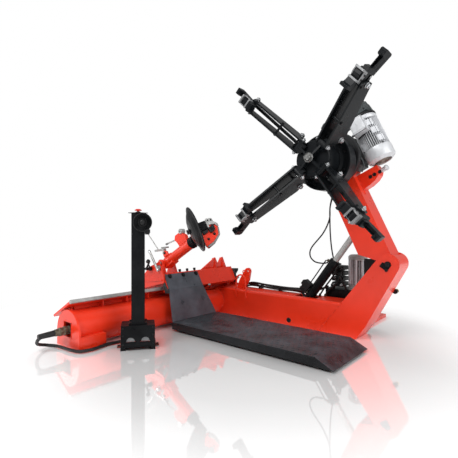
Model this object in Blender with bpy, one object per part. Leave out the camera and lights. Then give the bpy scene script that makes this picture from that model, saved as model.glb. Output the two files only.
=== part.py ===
"""Tire changer for truck wheels: an L-shaped floor frame, a swinging chuck arm and a sliding tool carriage.

Metres, +Z up. The origin is on the floor, under the axis of the long round tube, at the middle of the
cross beam's width. The tube runs along Y, the cross beam along X and the chuck's axis is parallel to Y.
Every moving group of pieces hangs on an empty that stands on its joint's axis.
"""
import math

import bmesh
import bpy
from mathutils import Matrix, Vector

GAP = 0.0003                      # running gap between neighbouring pieces
ROUND = 40                        # sides of a large round piece
SMALL_ROUND = 20                  # sides of a small one
SMOOTH_ANGLE = math.radians(35)

# Long tube, its end plates and the sloping guide on top of it
TUBE_RADIUS, TUBE_WALL, TUBE_Z = 0.1225, 0.010, 0.126
TUBE_FRONT, TUBE_BACK = -1.554, 0.215
PLATE = 0.015                     # thickness of the end plates
ARCH_RADIUS, ARCH_Z = 0.157, 0.100
PORT = 0.050                      # half side of the square port in the front plate
FOOT_DEPTH, FOOT_TOP = 0.180, 0.092
PAD_HALF = 0.105
GUIDE_SLOPE = math.radians(27.5)
GUIDE_LEFT, GUIDE_RIGHT = -0.0895, 0.1755
GUIDE_LOW, GUIDE_HIGH = 0.252, 0.268
GUIDE_BAR = 0.020
SLOT_FRONT, SLOT_BACK = -0.665, -0.125

# Cross beam and knee leg
BEAM_HALF, BEAM_TOP, BEAM_FLOOR, BEAM_WALL = 0.110, 0.253, 0.012, 0.010
KNEE = (1.629, 0.559)
KNEE_RADIUS, PIN_RADIUS = 0.078, 0.022
LEG_PLATE = 0.012
LEG_OUTLINE = [(1.108, 0.012), (1.404, 0.000), (1.474, 0.103)]
OUTRIGGER_END = 0.780             # far end of the flat bar that steadies the leg from behind

# Chuck arm: u runs from the knee pin towards the chuck, v to the right of it
ARM_LEAN = math.radians(24.9)
ARM_RIGHT, ARM_LEFT, ARM_TOP = 0.045, -0.167, 0.736
ARM_HALF, ARM_WALL, ARM_FOOT = 0.094, 0.010, 0.062
ARM_LIFT_LOW, ARM_LIFT_HIGH = -30, 6

# Lift cylinder between the beam and the arm
CYLINDER_FOOT = (0.931, 0.190)
CYLINDER_EYE = (1.373, 0.796)
BARREL_RADIUS, ROD_RADIUS, BARREL_END = 0.037, 0.024, 0.452

# Chuck: r runs out from its axis, f forwards along -Y
CHUCK = (1.246, 1.285)
CHUCK_TURN = math.radians(43.0)
DRUM_RADIUS, DRUM_BACK, DRUM_FACE = 0.2025, 0.200, 0.305
HUB_RADIUS, HUB_FACE = 0.127, 0.470
JAW_PIVOT = (0.128, 0.4986)
JAW_PIN = (0.548, 0.632)
LINK_SHIFT = (0.045, -0.035)      # from each of the arm's pivots to the link's
PLATE_IN, PLATE_OUT = 0.034, 0.046

# Sliding carriage with its apron, platform and tool arm
BOX_RIGHT, BOX_LEFT, BOX_LOW, BOX_HIGH, BOX_WALL = 0.298, -0.190, 0.209, 0.3485, 0.010
BOX_FRONT, BOX_BACK = -0.836, 0.016
PLATFORM_FRONT, PLATFORM_BACK = -0.830, -0.310
PLATFORM_TOP, PLATFORM_FLOOR = 0.070, 0.014
TOOL_Y = -0.700
TOOL_BASE = (0.010, 0.532)
TOOL_SLOPE = math.radians(29.5)
TOOL_RADIUS = 0.041
TOOL_START, TOOL_END = -0.028, 0.328   # the tube's two ends along its axis
PIN_PULL = Vector((-0.956, 0, -0.294)).normalized()
TILT_PIVOT = (-0.015, 0.518)
DISC_CENTRE = Vector((0.508, -0.868, 0.802))
DISC_AXIS = Vector((0.507, 0.785, 0.357)).normalized()
DISC_RADIUS = 0.171
DISC_SET = -0.012                 # how far the disc stands in front of the head along its spindle

# Free-standing control post
CONSOLE = Vector((0.345, -1.2455, 0.0))
CONSOLE_TURN = math.radians(54)
POST_HALF, POST_TOP = 0.0442, 0.913
CUP_Z, CUP_RADIUS = 0.849, 0.0615
BASE_WIDTH, BASE_DEPTH, BASE_TOP, BASE_FLOOR = 0.220, 0.150, 0.164, 0.020

RED = ("red_paint", (0.72, 0.045, 0.018), 0.34, 0.0)
BLACK = ("black_paint", (0.022, 0.024, 0.028), 0.42, 0.0)
GREY = ("motor_grey", (0.52, 0.53, 0.55), 0.45, 0.0)
STEEL = ("bare_steel", (0.52, 0.52, 0.52), 0.35, 1.0)
CHROME = ("chrome", (0.80, 0.80, 0.80), 0.12, 1.0)
SHEET = ("grey_sheet", (0.17, 0.19, 0.22), 0.45, 0.3)
RUBBER = ("hose_rubber", (0.02, 0.02, 0.02), 0.60, 0.0)
BUTTON = ("red_plastic", (0.75, 0.04, 0.03), 0.35, 0.0)


def clear_scene():
    for obj in list(bpy.data.objects):
        bpy.data.objects.remove(obj, do_unlink=True)


def material(finish):
    name, colour, roughness, metallic = finish
    found = bpy.data.materials.get(name)
    if found:
        return found
    made = bpy.data.materials.new(name)
    made.use_nodes = True
    shader = made.node_tree.nodes["Principled BSDF"]
    shader.inputs["Base Color"].default_value = (*colour, 1.0)
    shader.inputs["Roughness"].default_value = roughness
    shader.inputs["Metallic"].default_value = metallic
    return made


def object_from(name, mesh_builder, finish):
    """A named object from a bmesh, with its normals made to point out."""
    bmesh.ops.recalc_face_normals(mesh_builder, faces=mesh_builder.faces)
    mesh = bpy.data.meshes.new(name)
    mesh_builder.to_mesh(mesh)
    mesh_builder.free()
    obj = bpy.data.objects.new(name, mesh)
    bpy.context.scene.collection.objects.link(obj)
    mesh.materials.append(material(finish))
    mesh.shade_smooth()
    mesh.set_sharp_from_angle(angle=SMOOTH_ANGLE)
    return obj


def extrude_outline(outline, low, high, to_world):
    """A bmesh prism: outline points (a, b) carried from depth low to depth high, placed by to_world(a, b, depth)."""
    builder = bmesh.new()
    rings = [[builder.verts.new(to_world(a, b, depth)) for a, b in outline] for depth in (low, high)]
    count = len(outline)
    builder.faces.new(rings[0])
    builder.faces.new(list(reversed(rings[1])))
    for i in range(count):
        j = (i + 1) % count
        builder.faces.new((rings[0][j], rings[0][i], rings[1][i], rings[1][j]))
    return builder


def side_view(x, z, y):
    """Outline drawn in X and Z, carried along Y."""
    return Vector((x, y, z))


def side_plate(name, outline, low, high, finish):
    return object_from(name, extrude_outline(outline, low, high, side_view), finish)


def arm_point(u, v):
    """World X, Z of a point u along the chuck arm and v to its right."""
    return (KNEE[0] - u * math.sin(ARM_LEAN) + v * math.cos(ARM_LEAN),
            KNEE[1] + u * math.cos(ARM_LEAN) + v * math.sin(ARM_LEAN))


def guide_point(t, n):
    """World X, Z of a point t up the guide's slope and n square to it."""
    return (t * math.cos(GUIDE_SLOPE) - n * math.sin(GUIDE_SLOPE),
            t * math.sin(GUIDE_SLOPE) + n * math.cos(GUIDE_SLOPE))


def arm_outline(points):
    return [arm_point(u, v) for u, v in points]


def guide_outline(points):
    return [guide_point(t, n) for t, n in points]


def arc(centre, radius, start, stop, steps):
    """Points on an arc from start to stop degrees."""
    turn = [math.radians(start + (stop - start) * i / steps) for i in range(steps + 1)]
    return [(centre[0] + radius * math.cos(a), centre[1] + radius * math.sin(a)) for a in turn]


def turned(profile, origin, axis, sides=ROUND):
    """A bmesh turned about a line: profile points (along, radius), where radius 0 closes the end."""
    axis = Vector(axis).normalized()
    across = axis.orthogonal().normalized()
    other = axis.cross(across)
    builder = bmesh.new()
    rings = []
    for along, radius in profile:
        centre = Vector(origin) + axis * along
        if radius == 0:
            rings.append([builder.verts.new(centre)])
            continue
        ring = []
        for i in range(sides):
            angle = 2 * math.pi * i / sides
            ring.append(builder.verts.new(centre + (across * math.cos(angle) + other * math.sin(angle)) * radius))
        rings.append(ring)
    closed = len(rings[0]) > 1 and len(rings[-1]) > 1
    pairs = list(zip(rings, rings[1:])) + ([(rings[-1], rings[0])] if closed else [])
    for first, second in pairs:
        for i in range(sides):
            j = (i + 1) % sides
            corners = [first[i % len(first)], first[j % len(first)], second[j % len(second)], second[i % len(second)]]
            builder.faces.new(list(dict.fromkeys(corners)))
    return builder


def turned_piece(name, profile, origin, axis, finish, sides=ROUND):
    return object_from(name, turned(profile, origin, axis, sides), finish)


def swept(name, path, radius, finish, sides=10):
    """A round bar or hose along a path of points, with flat ends."""
    points = [Vector(p) for p in path]
    builder = bmesh.new()
    across = (points[1] - points[0]).orthogonal().normalized()
    rings = []
    for i, point in enumerate(points):
        before = points[max(i - 1, 0)]
        after = points[min(i + 1, len(points) - 1)]
        along = (after - before).normalized()
        across = (across - along * across.dot(along)).normalized()
        other = along.cross(across)
        ring = []
        for k in range(sides):
            angle = 2 * math.pi * k / sides
            ring.append(builder.verts.new(point + (across * math.cos(angle) + other * math.sin(angle)) * radius))
        rings.append(ring)
    for first, second in zip(rings, rings[1:]):
        for i in range(sides):
            j = (i + 1) % sides
            builder.faces.new((first[i], first[j], second[j], second[i]))
    builder.faces.new(rings[0])
    builder.faces.new(rings[-1])
    return object_from(name, builder, finish)


def smooth_path(points, steps=5):
    """A Catmull-Rom curve through the points."""
    knots = [Vector(p) for p in points]
    knots = [knots[0] * 2 - knots[1]] + knots + [knots[-1] * 2 - knots[-2]]
    path = []
    for a, b, c, d in zip(knots, knots[1:], knots[2:], knots[3:]):
        for i in range(steps):
            t = i / steps
            path.append(0.5 * (2 * b + (c - a) * t + (2 * a - 5 * b + 4 * c - d) * t ** 2
                               + (3 * b - a - 3 * c + d) * t ** 3))
    return path + [knots[-2]]


def block(name, size, finish, matrix=None, centre=(0, 0, 0)):
    """A box of the given full size about a centre, placed by a matrix."""
    builder = bmesh.new()
    bmesh.ops.create_cube(builder, size=1.0)
    bmesh.ops.scale(builder, vec=Vector(size), verts=builder.verts)
    bmesh.ops.translate(builder, vec=Vector(centre), verts=builder.verts)
    if matrix is not None:
        bmesh.ops.transform(builder, matrix=matrix, verts=builder.verts)
    return object_from(name, builder, finish)


def combine(obj, tool, operation):
    """Applies an exact Boolean of obj with tool, and removes the tool."""
    change = obj.modifiers.new(operation.lower(), "BOOLEAN")
    change.operation = operation
    change.solver = "EXACT"
    change.object = tool
    graph = bpy.context.evaluated_depsgraph_get()
    mesh = bpy.data.meshes.new_from_object(obj.evaluated_get(graph))
    obj.modifiers.remove(change)
    old = obj.data
    obj.data = mesh
    bpy.data.meshes.remove(old)
    bpy.data.objects.remove(tool, do_unlink=True)
    mesh.name = obj.name
    mesh.shade_smooth()
    mesh.set_sharp_from_angle(angle=SMOOTH_ANGLE)
    return obj


def cut(obj, *tools):
    for tool in tools:
        combine(obj, tool, "DIFFERENCE")
    return obj


def join(obj, *tools):
    for tool in tools:
        combine(obj, tool, "UNION")
    return obj


def bored(obj, centre, radius, low, high, sides=SMALL_ROUND):
    """Cuts a round hole along Y at (x, z)."""
    tool = turned_piece("bore", [(0, 0), (0, radius), (high - low, radius), (high - low, 0)],
                        (centre[0], low, centre[1]), (0, 1, 0), STEEL, sides)
    return cut(obj, tool)


def joint_frame(name, location, parent=None, rotation=None):
    """An empty on a joint's axis, which the pieces of one moving body hang on."""
    frame = bpy.data.objects.new(name, None)
    bpy.context.scene.collection.objects.link(frame)
    frame.empty_display_size = 0.05
    matrix = Matrix.Translation(Vector(location))
    if rotation is not None:
        matrix = matrix @ rotation.to_4x4()
    if parent is not None:
        frame.parent = parent
        frame.matrix_basis = world_of(parent).inverted() @ matrix
    else:
        frame.matrix_basis = matrix
    return frame


def world_of(obj):
    matrix = obj.matrix_basis.copy()
    while obj.parent is not None:
        obj = obj.parent
        matrix = obj.matrix_basis @ matrix
    return matrix


def hang(frame, *pieces):
    """Moves each piece's origin to its joint frame and parents it there, without moving its shape."""
    inverse = world_of(frame).inverted()
    for piece in pieces:
        piece.data.transform(inverse)
        piece.parent = frame


# --- floor frame ---------------------------------------------------------------------------------

def arch_outline():
    """A plate with a round top and straight sides down to the floor."""
    return [(-ARCH_RADIUS, 0.0)] + arc((0, ARCH_Z), ARCH_RADIUS, 180, 0, 36) + [(ARCH_RADIUS, 0.0)]


def make_tube():
    inner = TUBE_RADIUS - TUBE_WALL
    length = TUBE_BACK - TUBE_FRONT
    tube = turned_piece("base_tube", [(0, TUBE_RADIUS), (length, TUBE_RADIUS), (length, inner), (0, inner)],
                        (0, TUBE_FRONT, TUBE_Z), (0, 1, 0), RED, 72)
    slot = side_plate("slot", guide_outline([(0.118, 0.150), (0.152, 0.150), (0.152, 0.240), (0.118, 0.240)]),
                      SLOT_FRONT, SLOT_BACK, RED)
    return cut(tube, slot)


def make_end_plates():
    front = side_plate("front_end_plate", arch_outline(), TUBE_FRONT - GAP - PLATE, TUBE_FRONT - GAP, RED)
    hole = [(-PORT, TUBE_Z - PORT), (PORT, TUBE_Z - PORT), (PORT, TUBE_Z + PORT), (-PORT, TUBE_Z + PORT)]
    cut(front, side_plate("port", hole, TUBE_FRONT - 0.05, TUBE_FRONT + 0.05, RED))
    back = side_plate("rear_end_plate", arch_outline(), TUBE_BACK + GAP, TUBE_BACK + GAP + PLATE, RED)
    return front, back


def make_front_foot():
    """A saddle under the tube behind the front plate, with rounded rear corners."""
    low = [(-ARCH_RADIUS, 0.0), (ARCH_RADIUS, 0.0), (ARCH_RADIUS, FOOT_TOP), (-ARCH_RADIUS, FOOT_TOP)]
    foot = side_plate("front_foot", low, TUBE_FRONT + GAP, TUBE_FRONT + FOOT_DEPTH, RED)
    return bored(foot, (0, TUBE_Z), TUBE_RADIUS + GAP, TUBE_FRONT - 0.1, TUBE_FRONT + 0.5, 72)


def make_junction_pad():
    """The grooved floor pad under the tube, where the cross beam meets it."""
    top = BEAM_FLOOR - GAP
    outline = [(-PAD_HALF, 0.0), (PAD_HALF, 0.0), (PAD_HALF, top), (-PAD_HALF, top)]
    pad = side_plate("junction_pad", outline, -BEAM_HALF, BEAM_HALF, RED)
    return bored(pad, (0, TUBE_Z), TUBE_RADIUS + GAP, -0.5, 0.5, 72)


def make_guide():
    """The sloping guide plate on its rib along the tube, and the machined bar on its upper edge."""
    front = TUBE_FRONT - 0.021
    plate = side_plate("guide_plate", guide_outline([(GUIDE_LEFT, GUIDE_LOW), (GUIDE_RIGHT, GUIDE_LOW),
                                                     (GUIDE_RIGHT, GUIDE_HIGH), (GUIDE_LEFT, GUIDE_HIGH)]),
                       front, TUBE_BACK - 0.010, RED)
    rib_foot = TUBE_Z * math.cos(GUIDE_SLOPE) + TUBE_RADIUS - 0.004
    rib = side_plate("rib", guide_outline([(0.010, rib_foot), (0.085, rib_foot), (0.085, GUIDE_LOW + 0.004),
                                           (0.010, GUIDE_LOW + 0.004)]), TUBE_FRONT + 0.05, TUBE_BACK - 0.05, RED)
    join(plate, rib)
    bored(plate, (0, TUBE_Z), TUBE_RADIUS + 0.0015, TUBE_FRONT - 0.1, TUBE_BACK + 0.1, 64)
    bar = side_plate("guide_bar", guide_outline([(GUIDE_RIGHT + GAP, GUIDE_LOW - 0.004),
                                                 (GUIDE_RIGHT + GUIDE_BAR, GUIDE_LOW - 0.004),
                                                 (GUIDE_RIGHT + GUIDE_BAR, GUIDE_HIGH + 0.004),
                                                 (GUIDE_RIGHT + GAP, GUIDE_HIGH + 0.004)]),
                     front, TUBE_BACK - 0.010, STEEL)
    return plate, bar


def make_beam():
    """The hollow cross beam, saddled on the tube at one end and cut to the leg at the other."""
    corner = 0.020
    ring = arc((BEAM_HALF - corner, BEAM_TOP - corner), corner, 0, 90, 4)
    ring += arc((-BEAM_HALF + corner, BEAM_TOP - corner), corner, 90, 180, 4)
    ring += [(-BEAM_HALF, BEAM_FLOOR), (BEAM_HALF, BEAM_FLOOR)]
    inside = [(y * 0.905, BEAM_FLOOR + (z - BEAM_FLOOR) * 0.915 + 0.010) for y, z in ring]
    start, stop = 0.030, 1.340
    beam = object_from("cross_beam", extrude_outline(ring, start, stop, lambda y, z, x: Vector((x, y, z))), RED)
    hollow = extrude_outline(inside, start - 0.1, stop + 0.1, lambda y, z, x: Vector((x, y, z)))
    cut(beam, object_from("hollow", hollow, RED))
    bored(beam, (0, TUBE_Z), TUBE_RADIUS + GAP, -0.3, 0.3, 72)
    first, second = leg_left_edge()
    leg_side = [(first[0] - GAP * 2, first[1]), (second[0] - GAP * 2, second[1]), (2.0, second[1]), (2.0, -0.1),
                (first[0] - 0.091 - GAP * 2, -0.1)]
    cut(beam, side_plate("leg_cut", leg_side, -0.3, 0.3, RED))
    opening = side_plate("opening", [(0.860, 0.200), (1.060, 0.200), (1.060, 0.300), (0.860, 0.300)],
                         -0.052, 0.052, RED)
    cut(beam, opening)
    plug = turned_piece("plug_hole", [(0, 0), (0, 0.021), (0.060, 0.021), (0.060, 0)],
                        (0.839, -BEAM_HALF - 0.020, 0.054), (0, 1, 0), RED, SMALL_ROUND)
    return cut(beam, plug)


def leg_left_edge():
    """The two ends of the leg's straight left edge: on the floor and where it meets the rounded top."""
    foot = LEG_OUTLINE[0]
    span = Vector((KNEE[0] - foot[0], KNEE[1] - foot[1]))
    lean = math.atan2(span.y, span.x) + math.asin(KNEE_RADIUS / span.length)
    reach = math.sqrt(span.length ** 2 - KNEE_RADIUS ** 2)
    return foot, (foot[0] + reach * math.cos(lean), foot[1] + reach * math.sin(lean))


def leg_outline(radius):
    """The leg's outline: two straight edges that run into a round top about the knee pin."""
    foot, top = leg_left_edge()
    start = math.degrees(math.atan2(top[1] - KNEE[1], top[0] - KNEE[0]))
    heel = LEG_OUTLINE[2]
    span = Vector((KNEE[0] - heel[0], KNEE[1] - heel[1]))
    lean = math.atan2(span.y, span.x) - math.asin(radius / span.length)
    stop = math.degrees(lean) - 90
    return list(reversed(LEG_OUTLINE)) + arc(KNEE, radius, start, stop, 26)


def make_leg():
    """The hollow knee leg: two side plates, a round socket at the top for the arm, and a flat rear outrigger."""
    leg = side_plate("knee_leg", leg_outline(KNEE_RADIUS), -BEAM_HALF, BEAM_HALF, RED)
    inner = BEAM_HALF - LEG_PLATE
    fork = arc(KNEE, ARM_FOOT + 0.005, -120, 58, 18) + arc(KNEE, 0.100, 58, 150, 8) + [(1.400, 0.600), (1.400, 0.455)]
    cut(leg, side_plate("fork", fork, -inner, inner, RED))
    cavity = [(1.175, 0.030), (1.385, 0.030), (1.455, 0.120), (1.625, 0.440), (1.540, 0.520), (1.470, 0.500)]
    cut(leg, side_plate("cavity", cavity, -inner, inner, RED))
    reach = OUTRIGGER_END - BEAM_HALF + 0.010
    outrigger = block("outrigger", (0.090, reach, 0.028), RED, centre=(1.292, OUTRIGGER_END - reach / 2, 0.014))
    join(leg, outrigger)
    return bored(leg, KNEE, PIN_RADIUS + GAP, -0.2, 0.2, 24)


def make_knee_pin():
    """The knee pin with its keeper plate on the front."""
    half = BEAM_HALF + 0.012
    pin = turned_piece("knee_pin", [(0, 0), (0, PIN_RADIUS), (2 * half, PIN_RADIUS), (2 * half, 0)],
                       (KNEE[0], -half, KNEE[1]), (0, 1, 0), BLACK, 24)
    keeper = block("keeper", (0.060, 0.006, 0.036), BLACK,
                   Matrix.Translation((KNEE[0] - 0.020, -BEAM_HALF - GAP - 0.003, KNEE[1] - 0.016))
                   @ Matrix.Rotation(math.radians(35), 4, "Y"))
    return join(pin, keeper)


def make_hoop():
    """The lifting hoop: a bent bar that stands on the beam's front face."""
    y = -BEAM_HALF - 0.0075 - GAP
    half, foot, top = 0.052, 0.185, 0.340
    centre = 0.336
    path = [(centre - half - 0.006, y, foot), (centre - half, y, top)]
    path += [(x, y, z) for x, z in arc((centre, top), half, 165, 15, 8)]
    path += [(centre + half, y, top), (centre + half + 0.006, y, foot)]
    return swept("lifting_hoop", path, 0.0075, RED)


def make_anchor_lug():
    """The drilled lug behind the carriage, welded on the beam's top."""
    centre, radius = (0.330, 0.415), 0.032
    outline = [(0.205, BEAM_TOP + GAP), (0.290, BEAM_TOP + GAP), (0.345, 0.330)]
    outline += arc(centre, radius, -25, 150, 8) + [(0.235, 0.330)]
    lug = side_plate("anchor_lug", outline, -0.012, 0.012, RED)
    return bored(lug, centre, 0.012, -0.1, 0.1)


def make_power_unit():
    """Oil tank, its vertical motor and the stacked pump and valve block, behind the beam."""
    tank = block("oil_tank", (0.300, 0.210, 0.250), BLACK, centre=(1.205, 0.230, 0.190))
    motor = turned_piece("pump_motor", [(0, 0), (0, 0.085), (0.014, 0.085), (0.016, 0.070), (0.190, 0.070),
                                        (0.192, 0.075), (0.250, 0.075), (0.262, 0.060), (0.262, 0)],
                         (1.290, 0.225, 0.3155), (0, 0, 1), GREY, 28)
    valves = block("valve_block", (0.085, 0.110, 0.210), BLACK, centre=(1.140, 0.220, 0.4205))
    stack = block("stack", (0.060, 0.070, 0.090), BLACK, centre=(1.092, 0.215, 0.470))
    return tank, motor, join(valves, stack)


def make_traverse_cylinder():
    """The cylinder inside the tube that drives the carriage: a barrel open at its rear end."""
    return turned_piece("traverse_barrel", [(0, 0), (0, 0.036), (0.740, 0.036), (0.740, 0.0203), (0.725, 0.0203),
                                            (0.725, 0.030), (0.020, 0.030), (0.020, 0)],
                        (0, -1.525, TUBE_Z), (0, 1, 0), BLACK, 20)


def make_supply_hose():
    """The hose from the cylinder's port, looping back along the floor to the control post."""
    path = smooth_path([(0, -1.530, 0.122), (0, -1.660, 0.116), (-0.012, -1.745, 0.100), (-0.075, -1.735, 0.050),
                        (-0.110, -1.660, 0.018), (-0.040, -1.616, 0.014), (0.100, -1.600, 0.014),
                        (0.180, -1.570, 0.014), (0.196, -1.480, 0.014), (0.170, -1.370, 0.014), (0.190, -1.270, 0.016),
                        (0.222, -1.222, 0.030)])
    hose = swept("supply_hose", path, 0.011, RUBBER, 8)
    fitting = turned_piece("fitting", [(0, 0), (0, 0.020), (0.035, 0.020), (0.040, 0.025), (0.075, 0.025), (0.075, 0)],
                           (0, -1.640, 0.1185), (0, 1, 0.04), RUBBER, 6)
    return join(hose, fitting)


# --- control post --------------------------------------------------------------------------------

def console_matrix():
    return Matrix.Translation(CONSOLE) @ Matrix.Rotation(CONSOLE_TURN, 4, "Z")


def make_console():
    """A sheet-metal base on two feet, and the square post. The post's front is its -Y side."""
    matrix = console_matrix()
    wall = 0.004
    base = block("console_base", (BASE_WIDTH, BASE_DEPTH, BASE_TOP - BASE_FLOOR), BLACK, matrix,
                 (0, 0, (BASE_TOP + BASE_FLOOR) / 2))
    cut(base, block("inside", (BASE_WIDTH - 2 * wall, BASE_DEPTH - 2 * wall, BASE_TOP), BLACK, matrix,
                    (0, 0, BASE_TOP / 2 - wall)))
    for side in (-1, 1):
        window = [(side * 0.048 + x, z) for x, z in arc((0, 0.058), 0.030, 0, 180, 8)]
        builder = extrude_outline(window, -BASE_DEPTH / 2 - 0.02, -BASE_DEPTH / 2 + 0.02, side_view)
        bmesh.ops.transform(builder, matrix=matrix, verts=builder.verts)
        cut(base, object_from("window", builder, BLACK))
        join(base, block("foot", (0.030, BASE_DEPTH * 0.9, BASE_FLOOR + 0.004), BLACK, matrix,
                         (side * (BASE_WIDTH / 2 - 0.012), 0, (BASE_FLOOR + 0.004) / 2)))
    height = POST_TOP - BASE_TOP - GAP
    post = block("console_post", (2 * POST_HALF, 2 * POST_HALF, height), BLACK, matrix,
                 (0, 0, BASE_TOP + GAP + height / 2))
    cut(post, block("bore", (2 * POST_HALF - 0.006, 2 * POST_HALF - 0.006, height), BLACK, matrix,
                    (0, 0, BASE_TOP + GAP + height / 2 - 0.004)))
    return base, post


def make_joystick_guard():
    """The open cup that shields the joystick, on the post's front face."""
    matrix = console_matrix()
    origin = matrix @ Vector((0.028, -POST_HALF - GAP, CUP_Z))
    axis = matrix.to_3x3() @ Vector((0, -1, 0))
    guard = turned_piece("joystick_guard", [(0, 0), (0, 0.042), (0.012, CUP_RADIUS), (0.050, CUP_RADIUS),
                                            (0.050, CUP_RADIUS - 0.004), (0.014, CUP_RADIUS - 0.004), (0.006, 0.032),
                                            (0.006, 0)], origin, axis, BLACK, 28)
    stick = swept("joystick", [origin + axis * d for d in (0.0075, 0.045, 0.046, 0.062)], 0.006, BLACK, 12)
    knob = turned_piece("knob", [(0, 0), (0, 0.010), (0.006, 0.016), (0.018, 0.016), (0.024, 0.008), (0.024, 0)],
                        origin + axis * 0.050, axis, BLACK, SMALL_ROUND)
    return guard, join(stick, knob), origin + axis * 0.0075


def make_emergency_stop():
    matrix = console_matrix()
    return turned_piece("emergency_stop", [(0, 0), (0, 0.010), (0.010, 0.010), (0.011, 0.0235), (0.017, 0.0235),
                                           (0.022, 0.015), (0.022, 0)],
                        matrix @ Vector((0, 0, POST_TOP + 0.0055)), (0, 0, 1), BUTTON, 24)


# --- carriage --------------------------------------------------------------------------------------

def make_carriage_box():
    """A channel that wraps the guide: a top, two sides and a lip under each edge of the guide."""
    wall, lip = BOX_WALL, 0.060
    outline = [(BOX_LEFT, BOX_LOW), (BOX_LEFT + lip, BOX_LOW), (BOX_LEFT + lip, BOX_LOW + wall),
               (BOX_LEFT + wall, BOX_LOW + wall), (BOX_LEFT + wall, BOX_HIGH - wall),
               (BOX_RIGHT - wall, BOX_HIGH - wall), (BOX_RIGHT - wall, BOX_LOW + wall),
               (BOX_RIGHT - lip, BOX_LOW + wall), (BOX_RIGHT - lip, BOX_LOW), (BOX_RIGHT, BOX_LOW),
               (BOX_RIGHT, BOX_HIGH), (BOX_LEFT, BOX_HIGH)]
    box = side_plate("carriage_box", guide_outline(outline), BOX_FRONT, BOX_BACK, RED)
    shoe = [(GUIDE_LEFT - 0.020, GUIDE_HIGH + 0.006), (GUIDE_RIGHT + GUIDE_BAR, GUIDE_HIGH + 0.006),
            (GUIDE_RIGHT + GUIDE_BAR, BOX_HIGH - wall + 0.002), (GUIDE_LEFT - 0.020, BOX_HIGH - wall + 0.002)]
    return join(box, side_plate("shoe", guide_outline(shoe), BOX_FRONT + 0.05, BOX_BACK - 0.05, RED))


def make_carriage_end():
    """The plate across the box's front end, which carries the tilt lock's stud."""
    front = BOX_FRONT - GAP
    outline = [(-0.136, 0.307), (0.130, 0.373), (0.130, 0.430), (0.066, 0.540), (-0.066, 0.488), (-0.136, 0.418)]
    return side_plate("carriage_end_plate", outline, front - 0.012, front, RED)


def make_tilt_bracket():
    """Two upright ears on the box's top, either side of the tool arm's root."""
    foot = BOX_HIGH + GAP
    base = side_plate("tilt_bracket", guide_outline([(0.050, foot), (0.270, foot), (0.270, foot + 0.010),
                                                     (0.050, foot + 0.010)]), TOOL_Y - 0.090, TOOL_Y + 0.090, RED)
    ear = guide_outline([(0.060, foot + 0.004), (0.250, foot + 0.004)]) + arc(TILT_PIVOT, 0.034, 0, 200, 8)
    for side in (-1, 1):
        low = TOOL_Y + side * 0.060 - 0.007
        join(base, side_plate("ear", ear, low, low + 0.014, RED))
    return bored(base, TILT_PIVOT, 0.0145, TOOL_Y - 0.2, TOOL_Y + 0.2)


def make_carriage_lugs():
    """A notched upright web along the box's ridge, stiffened by a rib across each of its two peaks."""
    foot = BOX_HIGH + GAP
    ridge = 0.4295
    profile = [(-0.376, ridge), (-0.005, ridge), (-0.018, 0.450), (-0.065, 0.543), (-0.119, 0.492), (-0.141, 0.491),
               (-0.171, 0.543)]
    web = object_from("carriage_lugs", extrude_outline(profile, 0.053, 0.067, lambda y, z, x: Vector((x, y, z))), RED)
    shape = guide_outline([(0.120, foot), (0.280, foot)]) + [(0.064, 0.540), (0.040, 0.536)]
    for low in (-0.186, -0.080):
        join(web, side_plate("rib", shape, low, low + 0.013, RED))
    return web


def make_apron():
    """The sheet that hangs from the box's right side down to the platform, wider at its foot."""
    thick = 0.008
    top = guide_point(BOX_RIGHT + GAP, BOX_HIGH - 0.012)
    bend = guide_point(BOX_RIGHT + GAP, BOX_LOW - 0.004)
    stations = [(top, -0.828, -0.460), (bend, -0.830, -0.450), ((0.2145, PLATFORM_TOP + 0.0015), -0.830, -0.330)]
    out = [Vector((math.cos(GUIDE_SLOPE), 0, math.sin(GUIDE_SLOPE))) * thick,
           Vector((0.94, 0, 0.26)) * thick, Vector((0.98, 0, 0.12)) * thick]
    builder = bmesh.new()
    rings = []
    for (point, low, high), shift in zip(stations, out):
        inner = [Vector((point[0], y, point[1])) for y in (low, high)]
        rings.append([builder.verts.new(p) for p in (inner[0], inner[1], inner[1] + shift, inner[0] + shift)])
    for first, second in zip(rings, rings[1:]):
        for i in range(4):
            j = (i + 1) % 4
            builder.faces.new((first[i], first[j], second[j], second[i]))
    builder.faces.new(rings[0])
    builder.faces.new(rings[-1])
    return object_from("apron_plate", builder, SHEET)


def make_platform():
    """The low step: a folded tray, open below, with a ramp at its far end."""
    left, crest, tip, wall = 0.2100, 1.450, 1.566, 0.006
    outline = [(left, PLATFORM_FLOOR), (tip, PLATFORM_FLOOR), (crest, PLATFORM_TOP), (left, PLATFORM_TOP)]
    inside = [(left + wall, 0.0), (tip - 0.030, 0.0), (tip - 0.030, PLATFORM_FLOOR), (crest - 0.004, PLATFORM_TOP - wall),
              (left + wall, PLATFORM_TOP - wall)]
    tray = side_plate("platform", outline, PLATFORM_FRONT, PLATFORM_BACK, SHEET)
    return cut(tray, side_plate("hollow", inside, PLATFORM_FRONT + wall, PLATFORM_BACK - wall, SHEET))


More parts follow.
